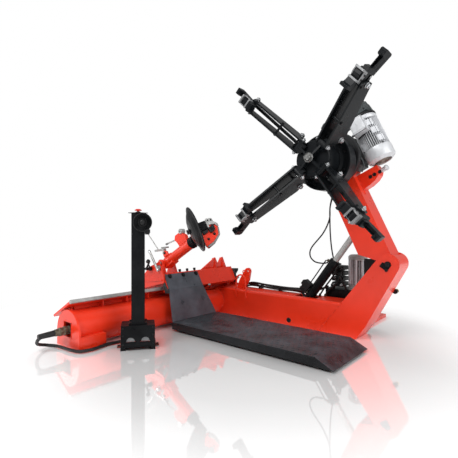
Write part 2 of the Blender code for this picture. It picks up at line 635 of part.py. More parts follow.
def make_traverse_rod():
    """The traverse cylinder's rod with the driver that comes up through the tube's slot to the carriage."""
    rod = turned_piece("traverse_rod", [(0, 0), (0, 0.0295), (0.020, 0.0295), (0.020, 0.020), (0.690, 0.020), (0.690, 0)],
                       (0, -1.020, TUBE_Z), (0, 1, 0), CHROME, 20)
    centre_t, centre_n = TUBE_Z * math.sin(GUIDE_SLOPE), TUBE_Z * math.cos(GUIDE_SLOPE)
    upper = BOX_LOW - GAP
    driver = guide_outline([(centre_t - 0.045, centre_n - 0.040), (centre_t + 0.060, centre_n - 0.040),
                            (0.145, 0.140), (0.145, upper - 0.014), (BOX_RIGHT - 0.002, upper - 0.014),
                            (BOX_RIGHT - 0.002, upper), (0.125, upper), (0.125, 0.175),
                            (centre_t - 0.045, centre_n + 0.030)])
    return join(rod, side_plate("driver", driver, -0.375, -0.345, CHROME))


# --- tool arm --------------------------------------------------------------------------------------

def tool_direction():
    return Vector((math.cos(TOOL_SLOPE), 0, math.sin(TOOL_SLOPE)))


def tool_point(along, across=0.0, y=0.0):
    """A point along the tool arm's axis from its root, and across it upwards."""
    up = Vector((-math.sin(TOOL_SLOPE), 0, math.cos(TOOL_SLOPE)))
    return Vector((TOOL_BASE[0], TOOL_Y + y, TOOL_BASE[1])) + tool_direction() * along + up * across


def tool_outline(points):
    return [(p.x, p.z) for p in (tool_point(a, b) for a, b in points)]


def make_tool_arm():
    """The tool arm's tube with its root eye and the lug that holds the index pin."""
    inner = TOOL_RADIUS - 0.008
    length = TOOL_END - TOOL_START
    tube = turned_piece("tool_arm_tube", [(0, TOOL_RADIUS), (length, TOOL_RADIUS), (length, inner), (0, inner)],
                        tool_point(TOOL_START), tool_direction(), RED, 28)
    root = turned_piece("root", [(0, 0), (0, 0.032), (0.100, 0.032), (0.100, 0)],
                        (TILT_PIVOT[0], TOOL_Y - 0.050, TILT_PIVOT[1]), (0, 1, 0), RED, 24)
    join(tube, root)
    lug = tool_outline([(0.205, 0.036), (0.302, 0.036), (0.307, 0.092), (0.263, 0.140), (0.200, 0.142),
                        (0.176, 0.114), (0.194, 0.076)])
    join(tube, side_plate("lug", lug, TOOL_Y - 0.016, TOOL_Y + 0.016, RED))
    return bored(tube, TILT_PIVOT, 0.0145, TOOL_Y - 0.2, TOOL_Y + 0.2)


def make_tilt_pin():
    return turned_piece("tilt_pin", [(0, 0), (0, 0.020), (0.008, 0.020), (0.008, 0.014), (0.150, 0.014), (0.150, 0)],
                        (TILT_PIVOT[0], TOOL_Y - 0.0755, TILT_PIVOT[1]), (0, 1, 0), STEEL, SMALL_ROUND)


def make_lock_handle():
    """The chrome handle that clamps the tilt, turning on a stud on the end plate."""
    y = BOX_FRONT - 0.034
    foot = Vector((0.070, y, 0.492))
    path = [foot + Vector((0.012, 0, -0.013)), foot + Vector((0.002, 0, -0.004)), foot + Vector((-0.045, 0, 0.062)),
            foot + Vector((-0.090, 0, 0.122)), foot + Vector((-0.098, 0, 0.128))]
    bar = swept("tilt_lock_handle", path, 0.010, CHROME, 12)
    stud = turned_piece("stud", [(0, 0), (0, 0.014), (0.021, 0.014), (0.021, 0)], foot, (0, 1, 0), CHROME, SMALL_ROUND)
    return join(bar, stud), foot


def make_index_pin():
    """The sprung pull pin with its rod handle, in the tool arm's lug."""
    along = PIN_PULL
    origin = tool_point(0.1745, 0.114) + along * 0.006
    pin = swept("index_pin", [origin, origin + along * 0.110], 0.005, STEEL, 10)
    knob = turned_piece("knob", [(0, 0), (0, 0.009), (0.020, 0.009), (0.020, 0)], origin + along * 0.104, along,
                        STEEL, 12)
    return join(pin, knob)


def head_frame():
    """The disc's own axes: n along its spindle away from the tyre side, b towards the post, c down."""
    n = DISC_AXIS
    t = tool_direction()
    b = (t - n * t.dot(n)).normalized()
    return n, b, n.cross(b)


def head_point(a, c, b=0.0):
    n, across, down = head_frame()
    return DISC_CENTRE + n * a + down * c + across * b


def make_tool_head():
    """The turning head: a collar on the tube's end, a neck, and the block that carries disc and hook."""
    axis = tool_direction()
    start = TOOL_END + 0.0005
    head = turned_piece("tool_head", [(0, 0), (0, 0.046), (0.048, 0.046), (0.054, 0.030), (0.165, 0.030), (0.165, 0)],
                        tool_point(start), axis, BLACK, 28)
    n, b, down = head_frame()
    turn = Matrix((n, b, down)).transposed().to_4x4()
    place = Matrix.Translation(head_point(0.062, 0.004, -0.070)) @ turn
    join(head, block("housing", (0.050, 0.210, 0.062), BLACK, place))
    spindle = turned_piece("spindle", [(0, 0), (0, 0.024), (0.042, 0.024), (0.042, 0)], head_point(0.0015, 0),
                           n, BLACK, SMALL_ROUND)
    return join(head, spindle)


def make_hook():
    """The mounting hook: a D-shaped body with a window, and the hard tip bolted on its upper edge."""
    def place(a, c, b):
        return head_point(a, c, b)
    body_outline = [(0.0875, -0.020), (0.150, 0.020), (0.160, 0.070), (0.140, 0.120), (0.080, 0.160),
                    (0.030, 0.172), (0.045, 0.130), (0.0875, 0.060)]
    body = object_from("hook_body", extrude_outline(body_outline, -0.012, 0.012, place), RED)
    window = [(0.112 + 0.016 * math.cos(a), 0.075 + 0.030 * math.sin(a))
              for a in (2 * math.pi * i / 12 for i in range(12))]
    cut(body, object_from("window", extrude_outline(window, -0.05, 0.05, place), RED))
    tip_outline = [(0.088, -0.062), (0.126, -0.050), (0.168, 0.030), (0.1612, 0.062), (0.1512, 0.018), (0.088, -0.0235)]
    tip = object_from("hook_tip", extrude_outline(tip_outline, -0.020, 0.020, place), STEEL)
    return body, tip


def make_disc():
    """The dished bead roller with its rolled rim and centre nut."""
    thick = 0.007
    profile = [(-0.036, 0.0), (-0.036, 0.018), (-0.028, 0.024), (-0.026, 0.055), (-0.019, 0.090), (-0.007, 0.122),
               (0.008, 0.150), (0.014, DISC_RADIUS), (0.019, DISC_RADIUS - 0.001), (0.022, DISC_RADIUS - 0.010),
               (0.015, 0.148), (0.000, 0.120), (-0.019 + thick, 0.088), (-0.026 + thick, 0.055),
               (-0.026 + thick, 0.020), (0.013, 0.020), (0.013, 0.0)]
    return turned_piece("bead_disc", profile, DISC_CENTRE + DISC_AXIS * DISC_SET, DISC_AXIS, BLACK, 56)


# --- chuck arm -------------------------------------------------------------------------------------

def make_swing_arm():
    """The box arm, round at the knee, open on its left side where the lift cylinder's rod goes in."""
    heel = [(u, v) for v, u in arc((0, 0), ARM_FOOT, 316, 170, 10)]
    outline = heel + [(0.0495, -0.057), (0.1445, ARM_LEFT), (ARM_TOP, ARM_LEFT), (ARM_TOP, ARM_RIGHT)]
    arm = side_plate("swing_arm", arm_outline(outline), -ARM_HALF, ARM_HALF, RED)
    inner = ARM_HALF - ARM_WALL
    cavity = arm_outline([(0.130, ARM_LEFT + 0.045), (0.180, ARM_LEFT + ARM_WALL), (ARM_TOP - 0.012, ARM_LEFT + ARM_WALL),
                          (ARM_TOP - 0.012, ARM_RIGHT - ARM_WALL), (0.130, ARM_RIGHT - ARM_WALL)])
    cut(arm, side_plate("cavity", cavity, -inner, inner, RED))
    mouth = arm_outline([(0.170, ARM_LEFT - 0.05), (0.440, ARM_LEFT - 0.05), (0.440, ARM_LEFT + 0.06),
                         (0.170, ARM_LEFT + 0.06)])
    cut(arm, side_plate("mouth", mouth, -0.050, 0.050, RED))
    return bored(arm, KNEE, PIN_RADIUS + GAP, -0.2, 0.2, 24)


def make_gearbox():
    """The worm gearbox on the arm's head, with its round output boss and the snout of its input shaft."""
    foot = ARM_TOP + GAP
    outline = [(foot, -0.150), (foot, 0.120), (0.790, 0.140), (0.975, 0.140), (1.010, 0.100), (1.010, -0.120),
               (0.960, -0.165), (0.800, -0.165)]
    box = side_plate("gearbox_housing", arm_outline(outline), -0.100, 0.085, BLACK)
    boss = turned_piece("boss", [(0, 0), (0, 0.110), (0.095, 0.110), (0.095, 0)],
                        (CHUCK[0], -0.193, CHUCK[1]), (0, 1, 0), BLACK, ROUND)
    snout_x, snout_z = arm_point(1.005, 0.055)
    axis = (-math.sin(ARM_LEAN), 0, math.cos(ARM_LEAN))
    snout = turned_piece("snout", [(0, 0), (0, 0.050), (0.079, 0.050), (0.079, 0)],
                         (snout_x, 0.0, snout_z), axis, BLACK, 20)
    return join(box, boss, snout)


def make_belt_cover():
    """The flat cover over the belt from the motor's shaft to the worm shaft."""
    outline = arm_outline([(1.0845, -0.030), (1.0845, 0.325), (1.100, 0.335), (1.175, 0.325), (1.185, 0.300),
                           (1.185, 0.000), (1.165, -0.030)])
    cover = side_plate("belt_cover", outline, -0.072, 0.095, SHEET)
    return cover


MOTOR_V, MOTOR_Y, MOTOR_LOW, MOTOR_HIGH = 0.2475, 0.020, 0.700, 1.084


def make_chuck_motor():
    """The chuck's finned motor, parallel to the arm, with its fan cover at the lower end."""
    x, z = arm_point(MOTOR_LOW, MOTOR_V)
    axis = (-math.sin(ARM_LEAN), 0, math.cos(ARM_LEAN))
    length = MOTOR_HIGH - MOTOR_LOW
    profile = [(0, 0), (0, 0.062), (0.018, 0.096), (0.096, 0.102), (0.098, 0.095), (length - 0.060, 0.095),
               (length - 0.058, 0.102), (length - 0.020, 0.102), (length - 0.014, 0.080), (length, 0.080), (length, 0)]
    return turned_piece("chuck_motor", profile, (x, MOTOR_Y, z), axis, GREY, ROUND)


def make_terminal_box():
    """The motor's terminal box on its front side, with a round-edged lid."""
    low, high, left, right = 0.925, 1.040, 0.185, 0.285
    outline = [(low, left), (high - 0.02, left), (high, left + 0.02), (high, right), (low, right)]
    front, back = MOTOR_Y - 0.165, MOTOR_Y - 0.060
    box = side_plate("motor_terminal_box", arm_outline(outline), front, back, GREY)
    x, z = arm_point(low - 0.05, MOTOR_V)
    axis = (-math.sin(ARM_LEAN), 0, math.cos(ARM_LEAN))
    scoop = turned_piece("scoop", [(0, 0), (0, 0.1025), (0.3, 0.1025), (0.3, 0)], (x, MOTOR_Y, z), axis, GREY, ROUND)
    return cut(box, scoop)


def make_side_bracket():
    """The curved red bracket on the arm's right side, under the motor."""
    curve = [(0.660 - 0.150 * math.cos(math.radians(a)) * 0.55, ARM_RIGHT + 0.165 * math.sin(math.radians(a)))
             for a in (0, 20, 40, 60, 80)]
    outline = curve + [(0.692, ARM_RIGHT + 0.160), (0.692, ARM_RIGHT + GAP)]
    outline[0] = (outline[0][0], ARM_RIGHT + GAP)
    return side_plate("side_bracket", arm_outline(outline), -0.020, 0.070, RED)


def cylinder_direction():
    return Vector((CYLINDER_EYE[0] - CYLINDER_FOOT[0], 0, CYLINDER_EYE[1] - CYLINDER_FOOT[1])).normalized()


def make_lift_cylinder():
    """The lift cylinder's barrel, open at its gland, and the rod with its piston and eye."""
    axis = cylinder_direction()
    foot = Vector((CYLINDER_FOOT[0], 0, CYLINDER_FOOT[1]))
    end, bore = BARREL_END, 0.030
    barrel = turned_piece("lift_barrel", [(-0.030, 0), (-0.030, 0.026), (0.020, 0.026), (0.030, BARREL_RADIUS),
                                          (end, BARREL_RADIUS), (end, ROD_RADIUS + GAP), (end - 0.020, ROD_RADIUS + GAP),
                                          (end - 0.020, bore), (0.045, bore), (0.045, 0)],
                          foot, axis, BLACK, 28)
    reach = (Vector((CYLINDER_EYE[0], 0, CYLINDER_EYE[1])) - foot).length
    rod = turned_piece("lift_rod", [(0.240, 0), (0.240, bore - GAP), (0.265, bore - GAP), (0.265, ROD_RADIUS),
                                    (reach, ROD_RADIUS), (reach + 0.012, 0.014), (reach + 0.012, 0)],
                       foot, axis, CHROME, 24)
    return barrel, rod


# --- chuck -----------------------------------------------------------------------------------------

def chuck_axes(k):
    """Outward and sideways directions of the chuck's arm k."""
    angle = CHUCK_TURN + k * math.pi / 2
    return Vector((math.cos(angle), 0, math.sin(angle))), Vector((-math.sin(angle), 0, math.cos(angle)))


def chuck_point(k, r, f, w=0.0):
    out, side = chuck_axes(k)
    return Vector((CHUCK[0], 0, CHUCK[1])) + out * r + side * w + Vector((0, -f, 0))


def chuck_plate(name, k, outline, low, high, finish):
    """A plate of arm k: outline in r and f, from side position low to high."""
    return object_from(name, extrude_outline(outline, low, high, lambda r, f, w: chuck_point(k, r, f, w)), finish)


def chuck_turned(name, profile, finish, sides=ROUND):
    return turned_piece(name, profile, (CHUCK[0], 0, CHUCK[1]), (0, -1, 0), finish, sides)


def make_drum():
    """The chuck's drum with a raised rim and one ear for each jaw's link."""
    drum = chuck_turned("chuck_drum", [(DRUM_BACK, 0), (DRUM_BACK, DRUM_RADIUS - 0.012), (DRUM_BACK + 0.012, DRUM_RADIUS),
                                       (DRUM_FACE, DRUM_RADIUS), (DRUM_FACE, DRUM_RADIUS - 0.014),
                                       (DRUM_FACE - 0.006, DRUM_RADIUS - 0.014), (DRUM_FACE - 0.006, 0)], BLACK, 72)
    pivot = (JAW_PIVOT[0] + LINK_SHIFT[0], JAW_PIVOT[1] + LINK_SHIFT[1])
    ear = [(0.150, DRUM_FACE - 0.010), (0.192, DRUM_FACE - 0.010)] + arc(pivot, 0.013, 0, 180, 6)
    for k in range(4):
        join(drum, chuck_plate("ear", k, ear, 0.0105, 0.0300, BLACK))
    return drum


def make_hub():
    """The hub that stands out of the drum, with a clevis for each jaw arm and a rib across to each."""
    hub = chuck_turned("chuck_hub", [(DRUM_FACE - 0.006 + GAP, 0), (DRUM_FACE - 0.006 + GAP, HUB_RADIUS),
                                     (HUB_FACE - 0.008, HUB_RADIUS), (HUB_FACE, HUB_RADIUS - 0.008), (HUB_FACE, 0)],
                       BLACK, 56)
    rib = [(0.000, HUB_FACE - 0.006), (0.110, HUB_FACE - 0.006), (0.118, 0.505), (0.020, 0.522), (0.000, 0.522)]
    ear = [(0.085, HUB_FACE - 0.030), (0.1205, HUB_FACE - 0.030), (0.134, 0.474)] + arc(JAW_PIVOT, 0.020, -30, 120, 6)
    for k in range(4):
        join(hub, chuck_plate("rib", k, rib, -0.007, 0.007, BLACK))
        join(hub, chuck_plate("ear", k, ear + [(0.085, 0.490)], -0.0335, 0.0335, BLACK))
    return hub


def make_hub_nut():
    return chuck_turned("hub_nut", [(0.5225, 0), (0.5225, 0.026), (0.530, 0.026), (0.532, 0.021), (0.552, 0.021),
                                    (0.558, 0.014), (0.558, 0)], CHROME, 24)


def make_jaw_arm(k):
    """A pair of tapered plates held apart by two spacers; it turns on the hub's clevis."""
    root = arc(JAW_PIVOT, 0.026, 95, 270, 8)
    outline = root + [(0.185, 0.412), (0.250, 0.402), (0.572, 0.598), (0.571, 0.636), (0.536, 0.694), (0.516, 0.688)]
    arm = chuck_plate(f"jaw_arm_{k + 1}", k, outline, -PLATE_OUT, -PLATE_IN, BLACK)
    other = chuck_plate("other", k, outline, PLATE_IN, PLATE_OUT, BLACK)
    _, side = chuck_axes(k)
    for r, f in ((0.2065, 0.422), (0.300, 0.570)):
        start = chuck_point(k, r, f, -PLATE_IN - 0.005)
        join(arm, turned_piece("spacer", [(0, 0), (0, 0.009), (2 * PLATE_IN + 0.010, 0.009), (2 * PLATE_IN + 0.010, 0)],
                               start, side, BLACK, 12))
    return join(arm, other)


def make_jaw_link(k):
    """The flat link that keeps the jaw square to the chuck, beside the arm's own pivots."""
    inner = Vector((JAW_PIVOT[0] + LINK_SHIFT[0], JAW_PIVOT[1] + LINK_SHIFT[1]))
    outer = Vector((JAW_PIN[0] + LINK_SHIFT[0], JAW_PIN[1] + LINK_SHIFT[1]))
    slope = math.degrees(math.atan2(outer.y - inner.y, outer.x - inner.x))
    outline = arc(inner, 0.011, slope + 90, slope + 270, 6) + arc(outer, 0.011, slope - 90, slope + 90, 6)
    return chuck_plate(f"jaw_link_{k + 1}", k, outline, -0.010, 0.010, STEEL)


def make_jaw(k):
    """The stepped jaw block with its neck between the plates and the extension bar through it."""
    pin = JAW_PIN
    second = (pin[0] + LINK_SHIFT[0], pin[1] + LINK_SHIFT[1])
    ear = [(0.530, 0.690)] + arc(pin, 0.017, 180, 260, 3) + arc(second, 0.017, 240, 360, 5) + [(0.610, 0.690)]
    jaw = chuck_plate(f"jaw_block_{k + 1}", k, ear, 0.0110, 0.0320, STEEL)
    neck = [(0.508, 0.654), (0.612, 0.654), (0.612, 0.698), (0.508, 0.698)]
    join(jaw, chuck_plate("neck", k, neck, -0.0325, 0.0325, STEEL))
    grip = [(0.506, 0.696), (0.606, 0.696), (0.606, 0.738), (0.592, 0.738), (0.592, 0.722), (0.526, 0.722),
            (0.526, 0.738), (0.506, 0.738)]
    join(jaw, chuck_plate("grip", k, grip, -0.0410, 0.0410, STEEL))
    claw = [(0.512, 0.699), (0.512, 0.727), (0.486, 0.734), (0.482, 0.764), (0.464, 0.760), (0.466, 0.706)]
    join(jaw, chuck_plate("claw", k, claw, -0.0270, 0.0270, STEEL))
    bar = [(0.604, 0.588), (0.726, 0.570), (0.738, 0.581), (0.738, 0.690), (0.719, 0.694), (0.713, 0.648),
           (0.698, 0.624), (0.640, 0.630), (0.622, 0.690), (0.604, 0.690)]
    return join(jaw, chuck_plate("bar", k, bar, -0.0170, 0.0170, STEEL))


# --- assembly --------------------------------------------------------------------------------------

def build_base():
    base = joint_frame("base", (0, 0, 0))
    pieces = [make_tube(), *make_end_plates(), make_front_foot(), make_junction_pad(), *make_guide(), make_beam(), make_leg(),
              make_knee_pin(), make_hoop(), make_anchor_lug(), *make_power_unit(), make_traverse_cylinder(),
              make_supply_hose(), *make_console()]
    guard, stick, pivot = make_joystick_guard()
    hang(base, *pieces, guard)
    hang(joint_frame("joystick_axis", pivot, base), stick)
    hang(joint_frame("stop_axis", CONSOLE + Vector((0, 0, POST_TOP)), base), make_emergency_stop())
    return base


def build_carriage(base):
    carriage = joint_frame("carriage_axis", (0, BOX_FRONT, 0.3), base)
    hang(carriage, make_carriage_box(), make_carriage_end(), make_tilt_bracket(), make_carriage_lugs(), make_apron(),
         make_platform(), make_traverse_rod(), make_tilt_pin())
    handle, foot = make_lock_handle()
    hang(joint_frame("handle_axis", foot, carriage), handle)
    arm = joint_frame("tool_arm_axis", (TILT_PIVOT[0], TOOL_Y, TILT_PIVOT[1]), carriage)
    hang(arm, make_tool_arm())
    hang(joint_frame("index_pin_axis", tool_point(0.2145, 0.068), arm), make_index_pin())
    head = joint_frame("tool_head_axis", tool_point(0.3205), arm)
    hang(head, make_tool_head(), *make_hook())
    hang(joint_frame("disc_axis", DISC_CENTRE, head), make_disc())


def build_chuck_arm(base):
    arm = joint_frame("arm_axis", (KNEE[0], 0, KNEE[1]), base)
    hang(arm, make_swing_arm(), make_gearbox(), make_belt_cover(), make_chuck_motor(), make_terminal_box(),
         make_side_bracket())
    barrel, rod = make_lift_cylinder()
    barrel_frame = joint_frame("barrel_axis", (CYLINDER_FOOT[0], 0, CYLINDER_FOOT[1]), base)
    hang(barrel_frame, barrel)
    hang(joint_frame("rod_axis", (CYLINDER_EYE[0], 0, CYLINDER_EYE[1]), barrel_frame), rod)
    return arm


def build_chuck(arm):
    chuck = joint_frame("chuck_axis", (CHUCK[0], -DRUM_FACE, CHUCK[1]), arm)
    hang(chuck, make_drum(), make_hub(), make_hub_nut())
    for k in range(4):
        jaw_frame = joint_frame(f"jaw_axis_{k + 1}", chuck_point(k, *JAW_PIVOT), chuck)
        hang(jaw_frame, make_jaw_arm(k))
        link_pivot = (JAW_PIVOT[0] + LINK_SHIFT[0], JAW_PIVOT[1] + LINK_SHIFT[1])
        hang(joint_frame(f"link_axis_{k + 1}", chuck_point(k, *link_pivot), chuck), make_jaw_link(k))
        hang(joint_frame(f"block_axis_{k + 1}", chuck_point(k, *JAW_PIN), jaw_frame), make_jaw(k))


clear_scene()
floor_frame = build_base()
build_carriage(floor_frame)
build_chuck(build_chuck_arm(floor_frame))
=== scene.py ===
"""Looks for the truck tire changer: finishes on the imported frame, plus the fine pieces around it."""
import math
import random
from functools import partial

import bmesh
import bpy
from mathutils import Matrix, Vector


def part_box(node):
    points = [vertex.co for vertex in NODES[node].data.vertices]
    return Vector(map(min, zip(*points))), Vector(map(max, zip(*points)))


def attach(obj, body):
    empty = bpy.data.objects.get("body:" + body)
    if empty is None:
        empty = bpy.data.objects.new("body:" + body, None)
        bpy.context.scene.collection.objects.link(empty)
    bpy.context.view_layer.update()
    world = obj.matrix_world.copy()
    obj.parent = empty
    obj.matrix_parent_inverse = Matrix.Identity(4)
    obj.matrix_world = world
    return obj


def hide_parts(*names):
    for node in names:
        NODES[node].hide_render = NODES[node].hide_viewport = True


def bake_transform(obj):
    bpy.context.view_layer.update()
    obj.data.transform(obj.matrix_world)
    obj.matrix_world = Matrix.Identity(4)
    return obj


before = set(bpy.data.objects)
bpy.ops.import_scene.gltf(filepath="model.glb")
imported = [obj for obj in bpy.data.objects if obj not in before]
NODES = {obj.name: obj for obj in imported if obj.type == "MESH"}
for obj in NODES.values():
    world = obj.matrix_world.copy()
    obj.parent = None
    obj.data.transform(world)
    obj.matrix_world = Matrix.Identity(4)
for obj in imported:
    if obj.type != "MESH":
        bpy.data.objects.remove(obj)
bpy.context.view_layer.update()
JAWS = (1, 2, 3, 4)
EDGE_ANGLE = math.radians(32)
MM = 0.001
random.seed(7)

# ---------------------------------------------------------------- materials

def new_tree(name):
    mat = bpy.data.materials.new(name)
    mat.use_nodes = True
    tree = mat.node_tree
    return mat, tree, tree.nodes["Principled BSDF"]


def node(tree, kind, **values):
    made = tree.nodes.new(kind)
    for key, value in values.items():
        if hasattr(made, key):
            setattr(made, key, value)
        else:
            made.inputs[key.replace("_", " ")].default_value = value
    return made


def noise(tree, coords, scale, detail=4.0, rough=0.55, stretch=None):
    if stretch is not None:
        mapping = node(tree, "ShaderNodeMapping")
        mapping.inputs["Scale"].default_value = stretch
        tree.links.new(coords, mapping.inputs["Vector"])
        coords = mapping.outputs["Vector"]
    made = node(tree, "ShaderNodeTexNoise")
    made.inputs["Scale"].default_value = scale
    made.inputs["Detail"].default_value = detail
    made.inputs["Roughness"].default_value = rough
    tree.links.new(coords, made.inputs["Vector"])
    return made.outputs["Fac"]


def ramp(tree, value, low, high, out_low=0.0, out_high=1.0):
    made = node(tree, "ShaderNodeMapRange")
    for key, number in (("From Min", low), ("From Max", high), ("To Min", out_low), ("To Max", out_high)):
        made.inputs[key].default_value = number
    tree.links.new(value, made.inputs["Value"])
    return made.outputs["Result"]


def times(tree, a, b, operation="MULTIPLY"):
    made = node(tree, "ShaderNodeMath", operation=operation)
    for socket, value in zip(made.inputs, (a, b)):
        if isinstance(value, (int, float)):
            socket.default_value = value
        else:
            tree.links.new(value, socket)
    return made.outputs["Value"]


def blend_colour(tree, fac, a, b):
    made = node(tree, "ShaderNodeMix", data_type="RGBA")
    for socket, value in ((made.inputs[0], fac), (made.inputs[6], a), (made.inputs[7], b)):
        if isinstance(value, (int, float)):
            socket.default_value = value
        elif isinstance(value, tuple):
            socket.default_value = (*value, 1.0)
        else:
            tree.links.new(value, socket)
    return made.outputs[2]


def edge_mask(tree, radius):
    """Bright along convex and concave edges, from the difference of the rounded and the true normal."""
    bevel = node(tree, "ShaderNodeBevel", samples=3)
    bevel.inputs["Radius"].default_value = radius
    geometry = node(tree, "ShaderNodeNewGeometry")
    dot = node(tree, "ShaderNodeVectorMath", operation="DOT_PRODUCT")
    tree.links.new(bevel.outputs["Normal"], dot.inputs[0])
    tree.links.new(geometry.outputs["Normal"], dot.inputs[1])
    return ramp(tree, dot.outputs["Value"], 0.95, 0.6, 0.0, 0.4)


def surface(name, colour, rough, metal=0.0, shade=0.12, scale=6.0, grain=260.0, bump=0.05, coat=0.0,
        stretch=None, rough_swing=0.1, specular=0.5, wear=None, dust_and_sheen=None, stain=None):
    """A painted, plated or rolled surface: cloudy colour and fine grain.

    wear is the colour of chipped edges, where the chips begin, and how wide they are. The up-facing
    colour and amount paint dust, and on the tread plate also a painted sheen; stain, anywhere, is a colour
    and an amount.
    """
    mat, tree, shader = new_tree(name)
    coords = node(tree, "ShaderNodeTexCoord").outputs["Object"]
    broad = noise(tree, coords, scale, 5.0, 0.6)
    fine = noise(tree, coords, grain, 3.0, 0.6, stretch)
    darker = tuple(c * (1 - shade) for c in colour)
    lighter = tuple(min(1.0, c * (1 + shade) + 0.02 * shade) for c in colour)
    tint = blend_colour(tree, ramp(tree, broad, 0.32, 0.68), darker, lighter)
    tint = blend_colour(tree, times(tree, ramp(tree, fine, 0.4, 0.75), 0.25), tint, darker)
    if stain:
        patches = ramp(tree, noise(tree, coords, scale * 0.7, 6.0, 0.7), 0.5, 0.72)
        tint = blend_colour(tree, times(tree, patches, stain[1]), tint, stain[0])
    roughness = ramp(tree, broad, 0.3, 0.7, rough - rough_swing, rough + rough_swing)
    # faces that point up take the given colour in patches: dust, and on the tread plate also a painted sheen
    if dust_and_sheen:
        geometry = node(tree, "ShaderNodeNewGeometry")
        split = node(tree, "ShaderNodeSeparateXYZ")
        tree.links.new(geometry.outputs["Normal"], split.inputs[0])
        up = ramp(tree, split.outputs["Z"], 0.2, 0.95)
        dust_and_sheen_patches = ramp(tree, noise(tree, coords, scale * 2.3, 6.0, 0.7), 0.38, 0.72, 0.15, 1.0)
        amount = times(tree, times(tree, up, dust_and_sheen_patches), dust_and_sheen[1])
        tint = blend_colour(tree, amount, tint, dust_and_sheen[0])
        roughness = times(tree, roughness, times(tree, amount, 0.35), "ADD")
    if wear:
        chipped, begins, width = wear
        chips = ramp(tree, noise(tree, coords, 55.0, 6.0, 0.75), begins, begins + 0.1)
        mask = times(tree, edge_mask(tree, width), chips)
        tint = blend_colour(tree, mask, tint, chipped)
        roughness = times(tree, roughness, times(tree, mask, 0.15), "ADD")
    bumped = node(tree, "ShaderNodeBump")
    bumped.inputs["Strength"].default_value = bump
    bumped.inputs["Distance"].default_value = 0.002
    tree.links.new(fine, bumped.inputs["Height"])
    tree.links.new(bumped.outputs["Normal"], shader.inputs["Normal"])
    tree.links.new(tint, shader.inputs["Base Color"])
    tree.links.new(roughness, shader.inputs["Roughness"])
    shader.inputs["Metallic"].default_value = metal
    shader.inputs["Specular IOR Level"].default_value = specular
    shader.inputs["Coat Weight"].default_value = coat
    shader.inputs["Coat Roughness"].default_value = 0.12
    return mat


